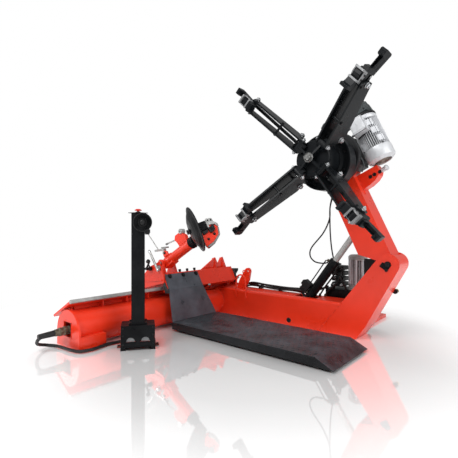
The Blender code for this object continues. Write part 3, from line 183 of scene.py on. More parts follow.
RED_COLOUR = (0.77, 0.032, 0.008)
MAT = {
    "red": surface(
        "red_enamel", RED_COLOUR, 0.3, shade=0.1, scale=2.2, grain=320.0, bump=0.04, coat=0.2,
        specular=0.35, wear=((0.35, 0.05, 0.03), 0.62, 0.002), dust_and_sheen=((0.66, 0.13, 0.085), 0.14)
    ),
    "weld": surface(
        "red_weld", (0.74, 0.038, 0.01), 0.42, shade=0.25, scale=60.0, grain=700.0, bump=0.45,
        specular=0.3
    ),
    "black": surface(
        "black_enamel", (0.0042, 0.0047, 0.0056), 0.34, shade=0.3, scale=5.0, grain=200.0, bump=0.02,
        specular=0.09, wear=((0.028, 0.028, 0.032), 0.6, 0.001), dust_and_sheen=((0.016, 0.017, 0.019), 0.22)
    ),
    "chuck": surface(
        "chuck_black", (0.0036, 0.0047, 0.006), 0.3, shade=0.25, scale=4.0, grain=160.0, bump=0.006,
        specular=0.13, wear=((0.026, 0.03, 0.034), 0.62, 0.0008), dust_and_sheen=((0.016, 0.02, 0.023), 0.2)
    ),
    "cast": surface(
        "cast_black", (0.0065, 0.007, 0.008), 0.48, shade=0.3, scale=14.0, grain=150.0, bump=0.45,
        specular=0.25, wear=((0.04, 0.04, 0.045), 0.56, 0.0015)
    ),
    "cover": surface(
        "cover_slate", (0.028, 0.036, 0.038), 0.38, shade=0.18, scale=5.0, grain=300.0, bump=0.1,
        specular=0.3, wear=((0.12, 0.13, 0.13), 0.58, 0.002), dust_and_sheen=((0.07, 0.08, 0.08), 0.3)
    ),
    "motor": surface(
        "motor_grey", (0.58, 0.59, 0.61), 0.34, metal=0.12, shade=0.12, scale=12.0, grain=300.0, bump=0.08,
        coat=0.1, wear=((0.55, 0.56, 0.58), 0.6, 0.0015), dust_and_sheen=((0.33, 0.32, 0.3), 0.25)
    ),
    "pump": surface(
        "pump_grey", (0.27, 0.265, 0.26), 0.4, metal=0.15, shade=0.16, scale=14.0, grain=300.0, bump=0.06,
        dust_and_sheen=((0.16, 0.14, 0.12), 0.35)
    ),
    # near-black that paints the shade between the motor fins and inside the fan cover; the box seal takes it
    # as dark rubber
    "motor_dark": surface(
        "motor_shadow", (0.03, 0.03, 0.032), 0.55, shade=0.3, scale=20.0, grain=250.0, bump=0.3,
        specular=0.3
    ),
    "grille": surface(
        "fan_grille", (0.22, 0.17, 0.14), 0.45, metal=0.4, shade=0.3, scale=30.0, grain=300.0, bump=0.3
    ),
    "steel": surface(
        "machined_steel", (0.36, 0.36, 0.355), 0.36, metal=1.0, shade=0.16, scale=10.0, grain=60.0,
        bump=0.04, stretch=(1.0, 12.0, 1.0), stain=((0.16, 0.13, 0.11), 0.45)
    ),
    "satin": surface(
        "satin_steel", (0.42, 0.42, 0.41), 0.36, metal=0.35, shade=0.14, scale=30.0, grain=300.0,
        bump=0.04, stain=((0.24, 0.23, 0.22), 0.35)
    ),
    "nut": surface(
        "dull_nut", (0.2, 0.2, 0.195), 0.42, metal=1.0, shade=0.2, scale=60.0, grain=300.0, bump=0.05
    ),
    "bright": surface(
        "zinc_bright", (0.42, 0.43, 0.44), 0.34, metal=1.0, shade=0.12, scale=30.0, grain=500.0, bump=0.02
    ),
    "jaw": surface(
        "jaw_silver", (0.235, 0.24, 0.245), 0.4, metal=0.45, shade=0.16, scale=26.0, grain=340.0,
        bump=0.04, stain=((0.13, 0.13, 0.13), 0.35)
    ),
    "chrome": surface(
        "hard_chrome", (0.6, 0.61, 0.62), 0.14, metal=1.0, shade=0.05, scale=20.0, grain=90.0, bump=0.03,
        stretch=(1.0, 1.0, 9.0), rough_swing=0.05
    ),
    "bolt": surface(
        "black_oxide", (0.007, 0.007, 0.008), 0.4, metal=0.3, shade=0.3, scale=60.0, grain=600.0,
        bump=0.15, specular=0.3
    ),
    "sheet": surface(
        "slate_sheet", (0.078, 0.088, 0.106), 0.36, metal=0.1, shade=0.32, scale=6.5, grain=210.0,
        bump=0.03, rough_swing=0.12, specular=0.4, wear=((0.13, 0.15, 0.17), 0.55, 0.002),
        stain=((0.125, 0.14, 0.165), 0.6)
    ),
    # the tread's up-facing colour is dust and also a painted sheen on the plate's top
    "tread": surface(
        "tread_plate", (0.007, 0.0076, 0.0095), 0.3, metal=0.05, shade=0.35, scale=3.0, grain=160.0,
        bump=0.03, rough_swing=0.12, specular=0.22, wear=((0.07, 0.08, 0.09), 0.54, 0.0015),
        dust_and_sheen=((0.12, 0.13, 0.15), 0.62)
    ),
    "hose": surface(
        "hose_rubber", (0.007, 0.007, 0.0075), 0.48, shade=0.4, scale=25.0, grain=900.0, bump=0.25,
        specular=0.3, dust_and_sheen=((0.03, 0.03, 0.03), 0.3)
    ),
    "cable": surface("grey_cable", (0.06, 0.065, 0.07), 0.45, shade=0.2, scale=40.0, grain=900.0, bump=0.2),
    "fitting": surface(
        "olive_fitting", (0.11, 0.095, 0.065), 0.38, metal=0.7, shade=0.3, scale=40.0, grain=500.0,
        bump=0.2, wear=((0.25, 0.22, 0.17), 0.52, 0.0012)
    ),
    "plastic": surface(
        "moulded_black", (0.006, 0.006, 0.0065), 0.4, shade=0.25, scale=30.0, grain=1400.0, bump=0.2,
        specular=0.3
    ),
    "button": surface(
        "red_plastic", (0.66, 0.025, 0.012), 0.26, shade=0.08, scale=40.0, grain=900.0, bump=0.08,
        coat=0.3
    ),
    "yellow": surface("yellow_ring", (0.62, 0.4, 0.03), 0.4, shade=0.1, scale=40.0, grain=900.0, bump=0.1),
    "copper": surface("red_oxide", (0.15, 0.024, 0.015), 0.6, shade=0.3, scale=30.0, grain=300.0, bump=0.4),
    "window": surface("pale_inner", (0.16, 0.165, 0.17), 0.5, shade=0.2, scale=40.0, grain=300.0, bump=0.2),
}

# ---------------------------------------------------------------- mesh helpers

def finish(name, builder, mat, body, bevel=0.0, segments=2, angle=EDGE_ANGLE):
    """Turns a bmesh in row-frame coordinates into a named piece that rides on a body, if one is given."""
    bmesh.ops.recalc_face_normals(builder, faces=builder.faces)
    mesh = bpy.data.meshes.new(name)
    builder.to_mesh(mesh)
    builder.free()
    obj = bpy.data.objects.new(name, mesh)
    bpy.context.scene.collection.objects.link(obj)
    mesh.materials.append(MAT[mat])
    mesh.shade_smooth()
    mesh.set_sharp_from_angle(angle=angle)
    if body:
        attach(obj, body)
    if bevel:
        add_bevel(obj, bevel, segments)
    return obj


def add_bevel(obj, width, segments=2):
    change = obj.modifiers.new("edge", "BEVEL")
    change.width = width
    change.segments = segments
    change.limit_method = "ANGLE"
    change.angle_limit = EDGE_ANGLE
    change.harden_normals = False
    change.use_clamp_overlap = True


def basis(axis):
    axis = Vector(axis).normalized()
    across = axis.orthogonal().normalized()
    return axis, across, axis.cross(across)


def add_turned(builder, profile, origin, axis, sides=32):
    """Adds a solid of revolution: profile points (along, radius); radius 0 closes an end."""
    axis, across, other = basis(axis)
    rings = []
    for along, radius in profile:
        centre = Vector(origin) + axis * along
        if radius == 0:
            rings.append([builder.verts.new(centre)])
        else:
            rings.append([builder.verts.new(centre + (across * math.cos(a) + other * math.sin(a)) * radius)
                for a in (2 * math.pi * i / sides for i in range(sides))])
    closed = len(rings[0]) > 1 and len(rings[-1]) > 1
    for first, second in list(zip(rings, rings[1:])) + ([(rings[-1], rings[0])] if closed else []):
        for i in range(sides):
            j = (i + 1) % sides
            corners = (first[i % len(first)], first[j % len(first)], second[j % len(second)],
                second[i % len(second)])
            builder.faces.new(list(dict.fromkeys(corners)))


def hollow(*steps):
    """A profile for add_turned, in millimetres; a ring's last step joins its first."""
    return [(along * MM, radius * MM) for along, radius in steps]


def solid(*steps):
    """A profile that also closes on the axis at both ends."""
    return hollow((steps[0][0], 0), *steps, (steps[-1][0], 0))


def add_slab(builder, outline, low, high, place):
    rings = [[builder.verts.new(place(a, b, depth)) for a, b in outline] for depth in (low, high)]
    builder.faces.new(rings[0])
    builder.faces.new(list(reversed(rings[1])))
    for i in range(len(outline)):
        j = (i + 1) % len(outline)
        builder.faces.new((rings[0][j], rings[0][i], rings[1][i], rings[1][j]))


def add_box(builder, size, place):
    """Adds a box whose middle is at a place, or turned and placed by a matrix."""
    matrix = place if isinstance(place, Matrix) else Matrix.Translation(place)
    made = bmesh.ops.create_cube(builder, size=1.0)
    bmesh.ops.scale(builder, vec=Vector(size), verts=made["verts"])
    bmesh.ops.transform(builder, matrix=matrix, verts=made["verts"])


def add_path(builder, path, radius, sides=10, swell=None):
    """Sweeps a circle along points; swell(i) scales the radius at each point."""
    points = [Vector(p) for p in path]
    across = (points[1] - points[0]).orthogonal().normalized()
    rings = []
    for i, point in enumerate(points):
        along = (points[min(i + 1, len(points) - 1)] - points[max(i - 1, 0)]).normalized()
        across = (across - along * across.dot(along)).normalized()
        other = along.cross(across)
        size = radius * (swell(i) if swell else 1.0)
        rings.append([builder.verts.new(point + (across * math.cos(a) + other * math.sin(a)) * size)
            for a in (2 * math.pi * k / sides for k in range(sides))])
    for first, second in zip(rings, rings[1:]):
        for k in range(sides):
            j = (k + 1) % sides
            builder.faces.new((first[k], first[j], second[j], second[k]))
    builder.faces.new(rings[0])
    builder.faces.new(list(reversed(rings[-1])))


def add_rib(builder, size, spot, around, up):
    """Adds a box whose first size points away from an axis and whose last one runs along it."""
    turn = Matrix((around, up.cross(around), up)).transposed().to_4x4()
    add_box(builder, size, Matrix.Translation(spot) @ turn)


def curve(points, steps=8):
    """A Catmull-Rom curve through the points."""
    knots = [Vector(p) for p in points]
    knots = [knots[0] * 2 - knots[1]] + knots + [knots[-1] * 2 - knots[-2]]
    path = []
    for a, b, c, d in zip(knots, knots[1:], knots[2:], knots[3:]):
        for i in range(steps):
            t = i / steps
            path.append(0.5 * (2 * b + (c - a) * t + (2 * a - 5 * b + 4 * c - d) * t ** 2
                + (3 * b - a - 3 * c + d) * t ** 3))
    return path + [knots[-2]]


def dense(points, pitch):
    """Straight runs between points, cut into short steps."""
    path = []
    for a, b in zip(points, points[1:]):
        a, b = Vector(a), Vector(b)
        count = max(1, round((b - a).length / pitch))
        path += [a.lerp(b, i / count) for i in range(count)]
    return path + [Vector(points[-1])]


def hose(name, points, radius, body, mat="hose", sides=12, steps=8):
    builder = bmesh.new()
    add_path(builder, curve(points, steps), radius, sides)
    return finish(name, builder, mat, body)


def weld(name, points, body, radius=0.0035, pitch=0.004):
    """A weld seam: a bead with the ripples its passes leave."""
    builder = bmesh.new()
    path = dense(points, pitch / 2)
    wobble = [0.85 + 0.3 * ((i % 2) == 0) + random.uniform(-0.08, 0.08) for i in range(len(path))]
    add_path(builder, path, radius, 8, lambda i: wobble[i])
    return finish(name, builder, "weld", body, angle=math.radians(60))


def add_hex(builder, origin, axis, across, height, washer=0.0):
    """A hexagon head with a chamfered crown on an optional washer."""
    base = 0.0
    if washer:
        base = 0.0022
        add_turned(builder, [(0, 0), (0, washer), (base, washer), (base, 0)], origin, axis, 20)
    r = across / 2 / math.cos(math.pi / 6)
    add_turned(builder, [(base, 0), (base, r), (base + height * 0.8, r), (base + height, r * 0.84),
        (base + height, 0)], origin, axis, 6)


def add_cap_screw(builder, origin, axis, radius, height):
    """A socket cap screw: knurled head with a recessed socket."""
    add_turned(builder, [(0, 0), (0, radius), (height * 0.85, radius), (height, radius * 0.88),
        (height, radius * 0.48), (height * 0.5, radius * 0.48), (height * 0.5, 0)], origin, axis, 18)


def bolts(name, places, body, mat="bolt", across=0.017, height=0.008, washer=0.012):
    builder = bmesh.new()
    for origin, axis in places:
        add_hex(builder, origin, axis, across, height, washer)
    return finish(name, builder, mat, body, 0.0006, 1)


def tilted(place, degrees):
    """A place in the row frame with a small lean about the y axis."""
    return Matrix.Translation(place) @ Matrix.Rotation(math.radians(degrees), 4, "Y")


def arc(centre, radius, start, stop, steps):
    return [(centre[0] + radius * math.cos(math.radians(start + (stop - start) * i / steps)),
        centre[1] + radius * math.sin(math.radians(start + (stop - start) * i / steps)))
        for i in range(steps + 1)]


def side(x, z, y):
    """A place in a vertical plane that faces the front, for outlines drawn in x and z."""
    return Vector((x, y, z))


def centre_of(name):
    low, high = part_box(name)
    return (low + high) / 2


# ---------------------------------------------------------------- carried-over CAD nodes

FINISH = {
    "red": [
        "base_tube", "front_end_plate", "rear_end_plate", "front_foot", "junction_pad", "guide_plate",
        "cross_beam", "knee_leg", "lifting_hoop", "anchor_lug", "carriage_box", "carriage_end_plate",
        "tilt_bracket", "carriage_lugs", "tool_arm_tube", "swing_arm", "side_bracket"
    ],
    "black": [
        "knee_pin", "oil_tank", "console_base", "console_post", "joystick_guard", "lift_barrel",
        "bead_disc", "tool_head", "traverse_barrel"
    ],
    "chuck": ["chuck_drum", "chuck_hub"] + [f"jaw_{part}_{k}" for part in ("arm", "link") for k in JAWS],
    "cast": ["gearbox_housing"],
    "cover": ["belt_cover"],
    "motor": ["motor_terminal_box"],
    "steel": ["tilt_pin", "index_pin"],
    "chrome": ["traverse_rod"],
    "satin": ["tilt_lock_handle", "guide_bar", "lift_rod"],
    "nut": ["hub_nut"],
    "sheet": ["apron_plate"],
    "tread": ["platform"],
    "hose": ["supply_hose"],
    "plastic": ["joystick"],
    "button": ["emergency_stop"],
}
BEVELS = {
    "front_foot": 0.006, "swing_arm": 0.005, "knee_leg": 0.003, "carriage_box": 0.0025,
    "gearbox_housing": 0.005, "belt_cover": 0.008, "motor_terminal_box": 0.008, "oil_tank": 0.005,
    "console_base": 0.0015, "console_post": 0.004, "platform": 0.0012, "apron_plate": 0.0015,
    "guide_plate": 0.0015, "front_end_plate": 0.002, "rear_end_plate": 0.002, "chuck_drum": 0.003,
    "chuck_hub": 0.0025, "carriage_end_plate": 0.0015, "carriage_lugs": 0.0015, "anchor_lug": 0.002,
    "tilt_bracket": 0.002, "side_bracket": 0.003, "tool_head": 0.002, "guide_bar": 0.001,
    "junction_pad": 0.001, "hub_nut": 0.001, "emergency_stop": 0.0015,
}
BEVELS.update({f"jaw_{part}_{k}": 0.0015 for part in ("arm", "link") for k in JAWS})

for finish_name, names in FINISH.items():
    for name in names:
        obj = NODES[name]
        for index in range(len(obj.material_slots)):
            obj.material_slots[index].material = MAT[finish_name]
        obj.data.shade_smooth()
        obj.data.set_sharp_from_angle(angle=EDGE_ANGLE)
        if name in BEVELS:
            add_bevel(obj, BEVELS[name])

# ---------------------------------------------------------------- places on the machine

# the chuck's centre, and the turn of its first jaw from +X in degrees
CHUCK = Vector((1.246, 0, 1.285))
CHUCK_TURN = 43.0
# on each jaw, as distances from the chuck's axis and forward: the arm's pivot and pin, the link's two
# pins, and the bolt of the spreader rod; then the outer face of the arm's plates and the jaw's ear
PIVOT, PIN = (0.128, 0.4986), (0.548, 0.632)
LINK_PINS = ((0.173, 0.4636), (0.593, 0.597))
ROD_BOLT = (0.2065, 0.422)
ARM_FACE = 0.0462
EAR = 0.0165
# the knee's pivot, and the lean of the chuck arm, the guide and the tool arm
KNEE = Vector((1.629, 0, 0.559))
LEAN, SLOPE, TOOL_SLOPE = math.radians(24.9), math.radians(27.5), math.radians(29.5)
ARM_UP = Vector((-math.sin(LEAN), 0, math.cos(LEAN)))
ARM_OUT = Vector((math.cos(LEAN), 0, math.sin(LEAN)))
TOOL_DIR = Vector((math.cos(TOOL_SLOPE), 0, math.sin(TOOL_SLOPE)))
TOOL_UP = Vector((-math.sin(TOOL_SLOPE), 0, math.cos(TOOL_SLOPE)))
# the tool arm's root, and the bead disc's centre and axis
TOOL_BASE = Vector((0.01, -0.7, 0.532))
DISC = Vector((0.508, -0.868, 0.802))
DISC_AXIS = Vector((0.507, 0.785, 0.357)).normalized()
# the long tube's axis and the front port; where the tube's end seams lie; the beam's side and the
# guide's underside; the pump's foot and the tank's lid
TUBE, PORT = Vector((0, 0, 0.126)), Vector((0, -1.56, 0.1215))
TUBE_SEAM, FRONT_SEAM, REAR_SEAM = 0.124, -1.552, 0.213
BEAM_FACE, GUIDE_UNDER = 0.1112, 0.2512
PUMP, TANK = Vector((1.29, 0.225, 0.3155)), Vector((1.205, 0.23, 0.3118))
# the chuck motor's axis beside the arm, its lower end, its long fins, and the turns its terminal box covers
MOTOR_V, MOTOR_Y, MOTOR_LOW = 0.2475, 0.02, 0.7
FIN_COUNT, BOX_SIDE = 44, (-62, -2)
# the control post stands turned to the front right
CONSOLE = Matrix.Translation((0.345, -1.2455, 0)) @ Matrix.Rotation(math.radians(54), 4, "Z")
CONSOLE_OUT = CONSOLE.to_3x3() @ Vector((0, -1, 0))
FRONT, UP, RIGHT = Vector((0, -1, 0)), Vector((0, 0, 1)), Vector((1, 0, 0))


def chuck_axes(k):
    """The directions out along jaw k and across it."""
    angle = math.radians(CHUCK_TURN + 90 * (k - 1))
    return Vector((math.cos(angle), 0, math.sin(angle))), Vector((-math.sin(angle), 0, math.cos(angle)))


def chuck_point(k, r, f, w=0.0):
    """A place on jaw k: out from the chuck's axis, forward, and across the jaw."""
    out, across = chuck_axes(k)
    return CHUCK + out * r + across * w + FRONT * f


def arm(u, v, y=0.0):
    """A place on the chuck arm: up along it from the knee, out to its right, and to the rear."""
    return KNEE + ARM_UP * u + ARM_OUT * v + Vector((0, y, 0))


def guide(t, n, y):
    """A place by the sloping guide: up the slope, off its face, and y as it is."""
    return Vector((t * math.cos(SLOPE) - n * math.sin(SLOPE), y, t * math.sin(SLOPE) + n * math.cos(SLOPE)))


def tool(along, up, y=0.0):
    """A place on the tool arm: along it from its root, above its axis, and to the rear."""
    return TOOL_BASE + TOOL_DIR * along + TOOL_UP * up + Vector((0, y, 0))


def head(out, down, along=0.0):
    """A point on the tool head, from the bead disc's centre: out on its axis, down and along its face."""
    ahead = (TOOL_DIR - DISC_AXIS * TOOL_DIR.dot(DISC_AXIS)).normalized()
    return DISC + DISC_AXIS * out + DISC_AXIS.cross(ahead) * down + ahead * along


def post(x, y, z):
    return CONSOLE @ Vector((x, y, z))


def post_face(x, z, y):
    """A place for outlines drawn in x and z on the control post."""
    return post(x, y, z)


def post_matrix(place):
    return CONSOLE @ Matrix.Translation(place)


def slab(name, outline, low, high, place, mat, body, bevel=0.0015):
    builder = bmesh.new()
    add_slab(builder, outline, low, high, place)
    return finish(name, builder, mat, body, bevel, 2)


def lathe(name, profile, origin, axis, mat, body, sides=40, bevel=0.0):
    builder = bmesh.new()
    add_turned(builder, profile, origin, axis, sides)
    return finish(name, builder, mat, body, bevel)


def ring(centre, radius, axis, start=0, stop=360, steps=72):
    """Points round an axis, with the turn measured from the axis' own across direction."""
    axis, across, other = basis(axis)
    turns = [math.radians(start + (stop - start) * i / steps) for i in range(steps + 1)]
    return [Vector(centre) + (across * math.cos(a) + other * math.sin(a)) * radius for a in turns]


def bead(name, points, radius, mat, body, sides=8):
    builder = bmesh.new()
    add_path(builder, points, radius, sides)
    return finish(name, builder, mat, body)


# ---------------------------------------------------------------- chuck

def make_chuck_details():
    # place, size and height of the nuts on each side of a jaw's arm
    joints = ((*PIVOT, 0.024, 0.013), (*PIN, 0.027, 0.015), (*ROD_BOLT, 0.032, 0.014))
    for k in JAWS:
        _, across = chuck_axes(k)
        nuts, heads = bmesh.new(), bmesh.new()
        for sign in (-1, 1):
            away = across * sign
            for r, f, size, high in joints:
                spot = chuck_point(k, r, f, ARM_FACE * sign)
                stud, end = size * 0.26, high + 0.008
                add_hex(nuts, spot, away, size, high, size * 0.68)
                add_turned(nuts, [(0, 0), (0, stud), (high + 0.006, stud), (end, size * 0.2), (end, 0)],
                    spot, away, 14)
            add_hex(heads, chuck_point(k, 0.3, 0.57, ARM_FACE * sign), away, 0.016, 0.007, 0.011)
            add_hex(heads, chuck_point(k, 0.52, 0.668, ARM_FACE * sign), away, 0.013, 0.006, 0.009)
        finish(f"jaw_arm_{k}_nuts", nuts, "bright", f"jaw_arm_{k}", 0.0008, 1)
        finish(f"jaw_arm_{k}_bolts", heads, "bolt", f"jaw_arm_{k}", 0.0006, 1)
        make_jaw(k)
        caps = bmesh.new()
        for r, f in LINK_PINS:
            for sign in (-1, 1):
                add_turned(caps, solid((0, 8.5), (2.5, 8.5), (4, 6)), chuck_point(k, r, f, 0.01 * sign),
                    across * sign, 20)
        finish(f"jaw_link_{k}_pins", caps, "bright", f"jaw_link_{k}")
    lathe("hub_washer", hollow((0, 21.5), (0, 33), (3, 34), (6, 32), (6, 21.5)), CHUCK + FRONT * 0.5225,
        FRONT, "nut", "chuck", 32)
    builder = bmesh.new()
    add_turned(builder, solid((0, 26.5), (18, 26.5), (22, 22.5)), CHUCK + FRONT * 0.53, FRONT, 6)
    finish("hub_lock_nut", builder, "nut", "chuck", 0.001)
    lathe("drum_rim", hollow((0, 189), (0, 201.5), (3.5, 203), (7, 201), (7, 190)), CHUCK + FRONT * 0.3045,
        FRONT, "chuck", "chuck", 88)
    lathe("drum_web", hollow((0, 130), (0, 150), (3, 148), (10, 132.5), (12, 130)), CHUCK + FRONT * 0.299,
        FRONT, "chuck", "chuck", 72)
    builder = bmesh.new()
    for i in range(8):
        angle = math.radians(CHUCK_TURN + 45 * i + 22.5)
        spot = CHUCK + Vector((math.cos(angle), 0, math.sin(angle))) * 0.168 + FRONT * 0.2992
        add_cap_screw(builder, spot, FRONT, 0.0085, 0.008)
    finish("drum_screws", builder, "bolt", "chuck")
    lathe("hub_band", hollow((0, 125.5), (0, 128.8), (6, 128.8), (6, 125.5)), CHUCK + FRONT * 0.452, FRONT,
        "chuck", "chuck", 72)


def make_jaw(k):
    """The jaw as it is built: a neck in the arm, a bright U bracket, a stepped claw and the extension bar."""
    place = partial(chuck_point, k)
    body = f"jaw_block_{k}"
    neck = bmesh.new()
    ear = [(0.532, 0.69)] + arc(PIN, EAR, 180, 262, 4) + arc(LINK_PINS[1], EAR, 242, 360, 8)
    add_slab(neck, ear + [(0.609, 0.69)], 0.0115, 0.0315, place)
    add_slab(neck, [(0.516, 0.655), (0.606, 0.655), (0.606, 0.693), (0.516, 0.693)], -0.029, 0.0322, place)
    main = finish(f"{body}_neck", neck, "cast", body, 0.003)
    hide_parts(body)
    grip = [(0.524, 0.69), (0.598, 0.69), (0.598, 0.744), (0.585, 0.744), (0.585, 0.708), (0.537, 0.708),
        (0.537, 0.738), (0.524, 0.738)]
    bracket = bmesh.new()
    add_slab(bracket, grip, -0.033, 0.033, place)
    add_slab(bracket, [(0.536, 0.696), (0.586, 0.696), (0.586, 0.738), (0.56, 0.736), (0.536, 0.722)],
        0.025, 0.033, place)
    add_slab(bracket, [(0.536, 0.696), (0.586, 0.696), (0.586, 0.724), (0.536, 0.716)], -0.033, -0.027,
        place)
    finish(f"{body}_bracket", bracket, "jaw", body, 0.0028)
    claw = bmesh.new()
    add_slab(claw, [(0.534, 0.698), (0.534, 0.734), (0.506, 0.738), (0.492, 0.744), (0.484, 0.766),
        (0.466, 0.76), (0.47, 0.706)], -0.03, 0.03, place)
    add_slab(claw, [(0.538, 0.7085), (0.584, 0.7085), (0.584, 0.73), (0.562, 0.734), (0.538, 0.724)],
        -0.024, 0.024, place)
    finish(f"{body}_claw", claw, "chuck", body, 0.0022)
    bar = bmesh.new()
    add_slab(bar, [(0.604, 0.59), (0.736, 0.58), (0.742, 0.586), (0.742, 0.612), (0.64, 0.622),
        (0.604, 0.63)], -0.0172, 0.0172, place)
    add_slab(bar, [(0.603, 0.624), (0.632, 0.622), (0.636, 0.652), (0.622, 0.69), (0.603, 0.69)], -0.0225,
        0.0225, place)
    for w in (-0.0172, 0.0112):
        add_slab(bar, [(0.626, 0.61), (0.73, 0.6), (0.73, 0.64), (0.7, 0.64), (0.632, 0.64)], w, w + 0.006,
            place)
    add_slab(bar, [(0.7, 0.603), (0.743, 0.598), (0.743, 0.658), (0.734, 0.668), (0.706, 0.664),
        (0.7, 0.65)], -0.0215, 0.0215, place)
    add_slab(bar, [(0.706, 0.655), (0.72, 0.655), (0.72, 0.676), (0.706, 0.674)], -0.0195, 0.002, place)
    finish(f"{body}_bar", bar, "chuck", body, 0.0018)
    screws = bmesh.new()
    _, across = chuck_axes(k)
    for sign in (-1, 1):
        for reach in (0.548, 0.576):
            add_cap_screw(screws, place(reach, 0.703, 0.0325 * sign), across * sign, 0.0055, 0.005)
    finish(f"{body}_screws", screws, "bolt", body)


# ---------------------------------------------------------------- chuck motor

def motor_round(turn, radius, along):
    """A point round the chuck motor's axis; turn 0 faces the front, 90 the right."""
    angle = math.radians(turn)
    around = FRONT * math.cos(angle) + ARM_OUT * math.sin(angle)
    return arm(MOTOR_LOW + along, MOTOR_V, MOTOR_Y) + around * radius, around


def make_motor():
    origin = arm(MOTOR_LOW, MOTOR_V, MOTOR_Y)
    body = "chuck_arm"
    shell = lathe("motor_fan_cover", solid((12, 63), (2, 65), (2, 70.5), (20, 96.5), (30, 100.5), (98, 102),
        (104, 100)), origin, ARM_UP, "motor", body, 64)
    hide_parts("chuck_motor")
    grille = bmesh.new()
    for radius in (0.014, 0.024, 0.034, 0.044, 0.054):
        add_turned(grille, [(0.006, radius - 0.0022), (0.004, radius), (0.006, radius + 0.0022),
            (0.0115, radius)], origin, ARM_UP, 40)
    for i in range(8):
        _, around = motor_round(45 * i, 0, 0)
        spot = origin + ARM_UP * 0.0085 + around * 0.036
        add_rib(grille, (0.054, 0.004, 0.005), spot, around, ARM_UP)
    add_turned(grille, hollow((4, 0), (3, 10), (11.5, 12), (11.5, 0)), origin, ARM_UP, 20)
    finish("motor_fan_grille", grille, "grille", body)
    # painted shade: a near-black disc inside the fan cover, behind the grille
    lathe("motor_grille_back", hollow((9.5, 10), (9.5, 63.2), (11.8, 63.2), (11.8, 10)), origin, ARM_UP,
        "motor_dark", body, 48)
    # painted shade: the core between the fins is near-black
    lathe("motor_core", solid((102, 85), (336, 85)), origin, ARM_UP, "motor_dark", body, 48)
    fins = bmesh.new()
    for i in range(FIN_COUNT):
        turn = 360 / FIN_COUNT * i
        if BOX_SIDE[0] < (turn + 180) % 360 - 180 < BOX_SIDE[1]:
            continue
        add_rib(fins, (0.017, 0.0034, 0.232), *motor_round(turn, 0.0905, 0.219), ARM_UP)
    for i in range(9):
        add_rib(fins, (0.02, 0.0036, 0.112), *motor_round(BOX_SIDE[0] + 7.5 * i, 0.088, 0.16), ARM_UP)
    finish("motor_fins", fins, "motor", body, 0.0006, 1)
    pads = bmesh.new()
    lifting_pads = ((26, 0.29), (34, 0.222), (43, 0.152), (205, 0.29), (205, 0.15), (150, 0.29),
        (150, 0.15))
    for turn, along in lifting_pads:
        add_rib(pads, (0.019, 0.033, 0.046), *motor_round(turn, 0.093, along), ARM_UP)
        add_rib(pads, (0.015, 0.013, 0.05), *motor_round(turn + 17, 0.093, along), ARM_UP)
    finish("motor_pads", pads, "motor", body, 0.0022)
    lathe("motor_end_bell", solid((330, 98.5), (338, 101.5), (356, 101.5), (364, 95), (372, 80),
        (383.5, 79)), origin, ARM_UP, "motor", body, 64)
    lathe("motor_flange", hollow((364, 70), (364, 104), (376, 104), (376, 70)), origin, ARM_UP, "bolt",
        body, 64, 0.001)
    builder = bmesh.new()
    for i in range(4):
        place, around = motor_round(45 + 90 * i, 0.088, 0.108)
        add_hex(builder, place + around * 0.0125, around, 0.01, 0.005)
        place, around = motor_round(20 + 90 * i, 0.0925, 0.364)
        add_hex(builder, place, -ARM_UP, 0.014, 0.007, 0.01)
    finish("motor_screws", builder, "bolt", body)
    make_motor_box(body)


def make_motor_box(body):
    face = MOTOR_Y - 0.165
    lid = [(0.928, 0.192), (0.928, 0.278), (0.934, 0.284), (1.034, 0.284), (1.039, 0.278), (1.039, 0.206),
        (1.02, 0.186), (0.934, 0.186)]
    panel = [(0.937, 0.196), (0.937, 0.27), (0.943, 0.275), (1.026, 0.275), (1.031, 0.27), (1.031, 0.21),
        (1.016, 0.195), (0.943, 0.195)]
    slab("motor_box_lid", lid, face - 0.011, face - 0.0004, arm, "motor", body, 0.0045)
    slab("motor_box_panel", panel, face - 0.014, face - 0.01, arm, "motor", body, 0.002)
    slab("motor_box_seal", [(0.9265, 0.1865), (0.9265, 0.2845), (1.0375, 0.2845), (1.0375, 0.1865)],
        face - 0.0015, face + 0.001, arm, "motor_dark", body, 0.0005)
    builder = bmesh.new()
    for u, v in ((0.9335, 0.192), (0.9335, 0.279), (1.0335, 0.279), (1.018, 0.1925)):
        add_cap_screw(builder, arm(u, v, face - 0.0108), FRONT, 0.0042, 0.003)
    finish("motor_box_screws", builder, "bright", body)
    gland = arm(0.95, 0.1845, MOTOR_Y - 0.115)
    lathe("motor_gland", solid((0, 12.5), (8, 12.5), (9, 10), (20, 10), (24, 6.5)), gland, -ARM_OUT,
        "bright", body, 12)
    hose("motor_cable", [gland - ARM_OUT * 0.018, gland - ARM_OUT * 0.045 - ARM_UP * 0.01,
        arm(0.9, 0.118, -0.12), arm(0.84, 0.142, -0.105), arm(0.74, 0.14, -0.06), arm(0.69, 0.1, -0.05)],
        0.0055, body, "cable")


# ---------------------------------------------------------------- arm, belt cover, bracket

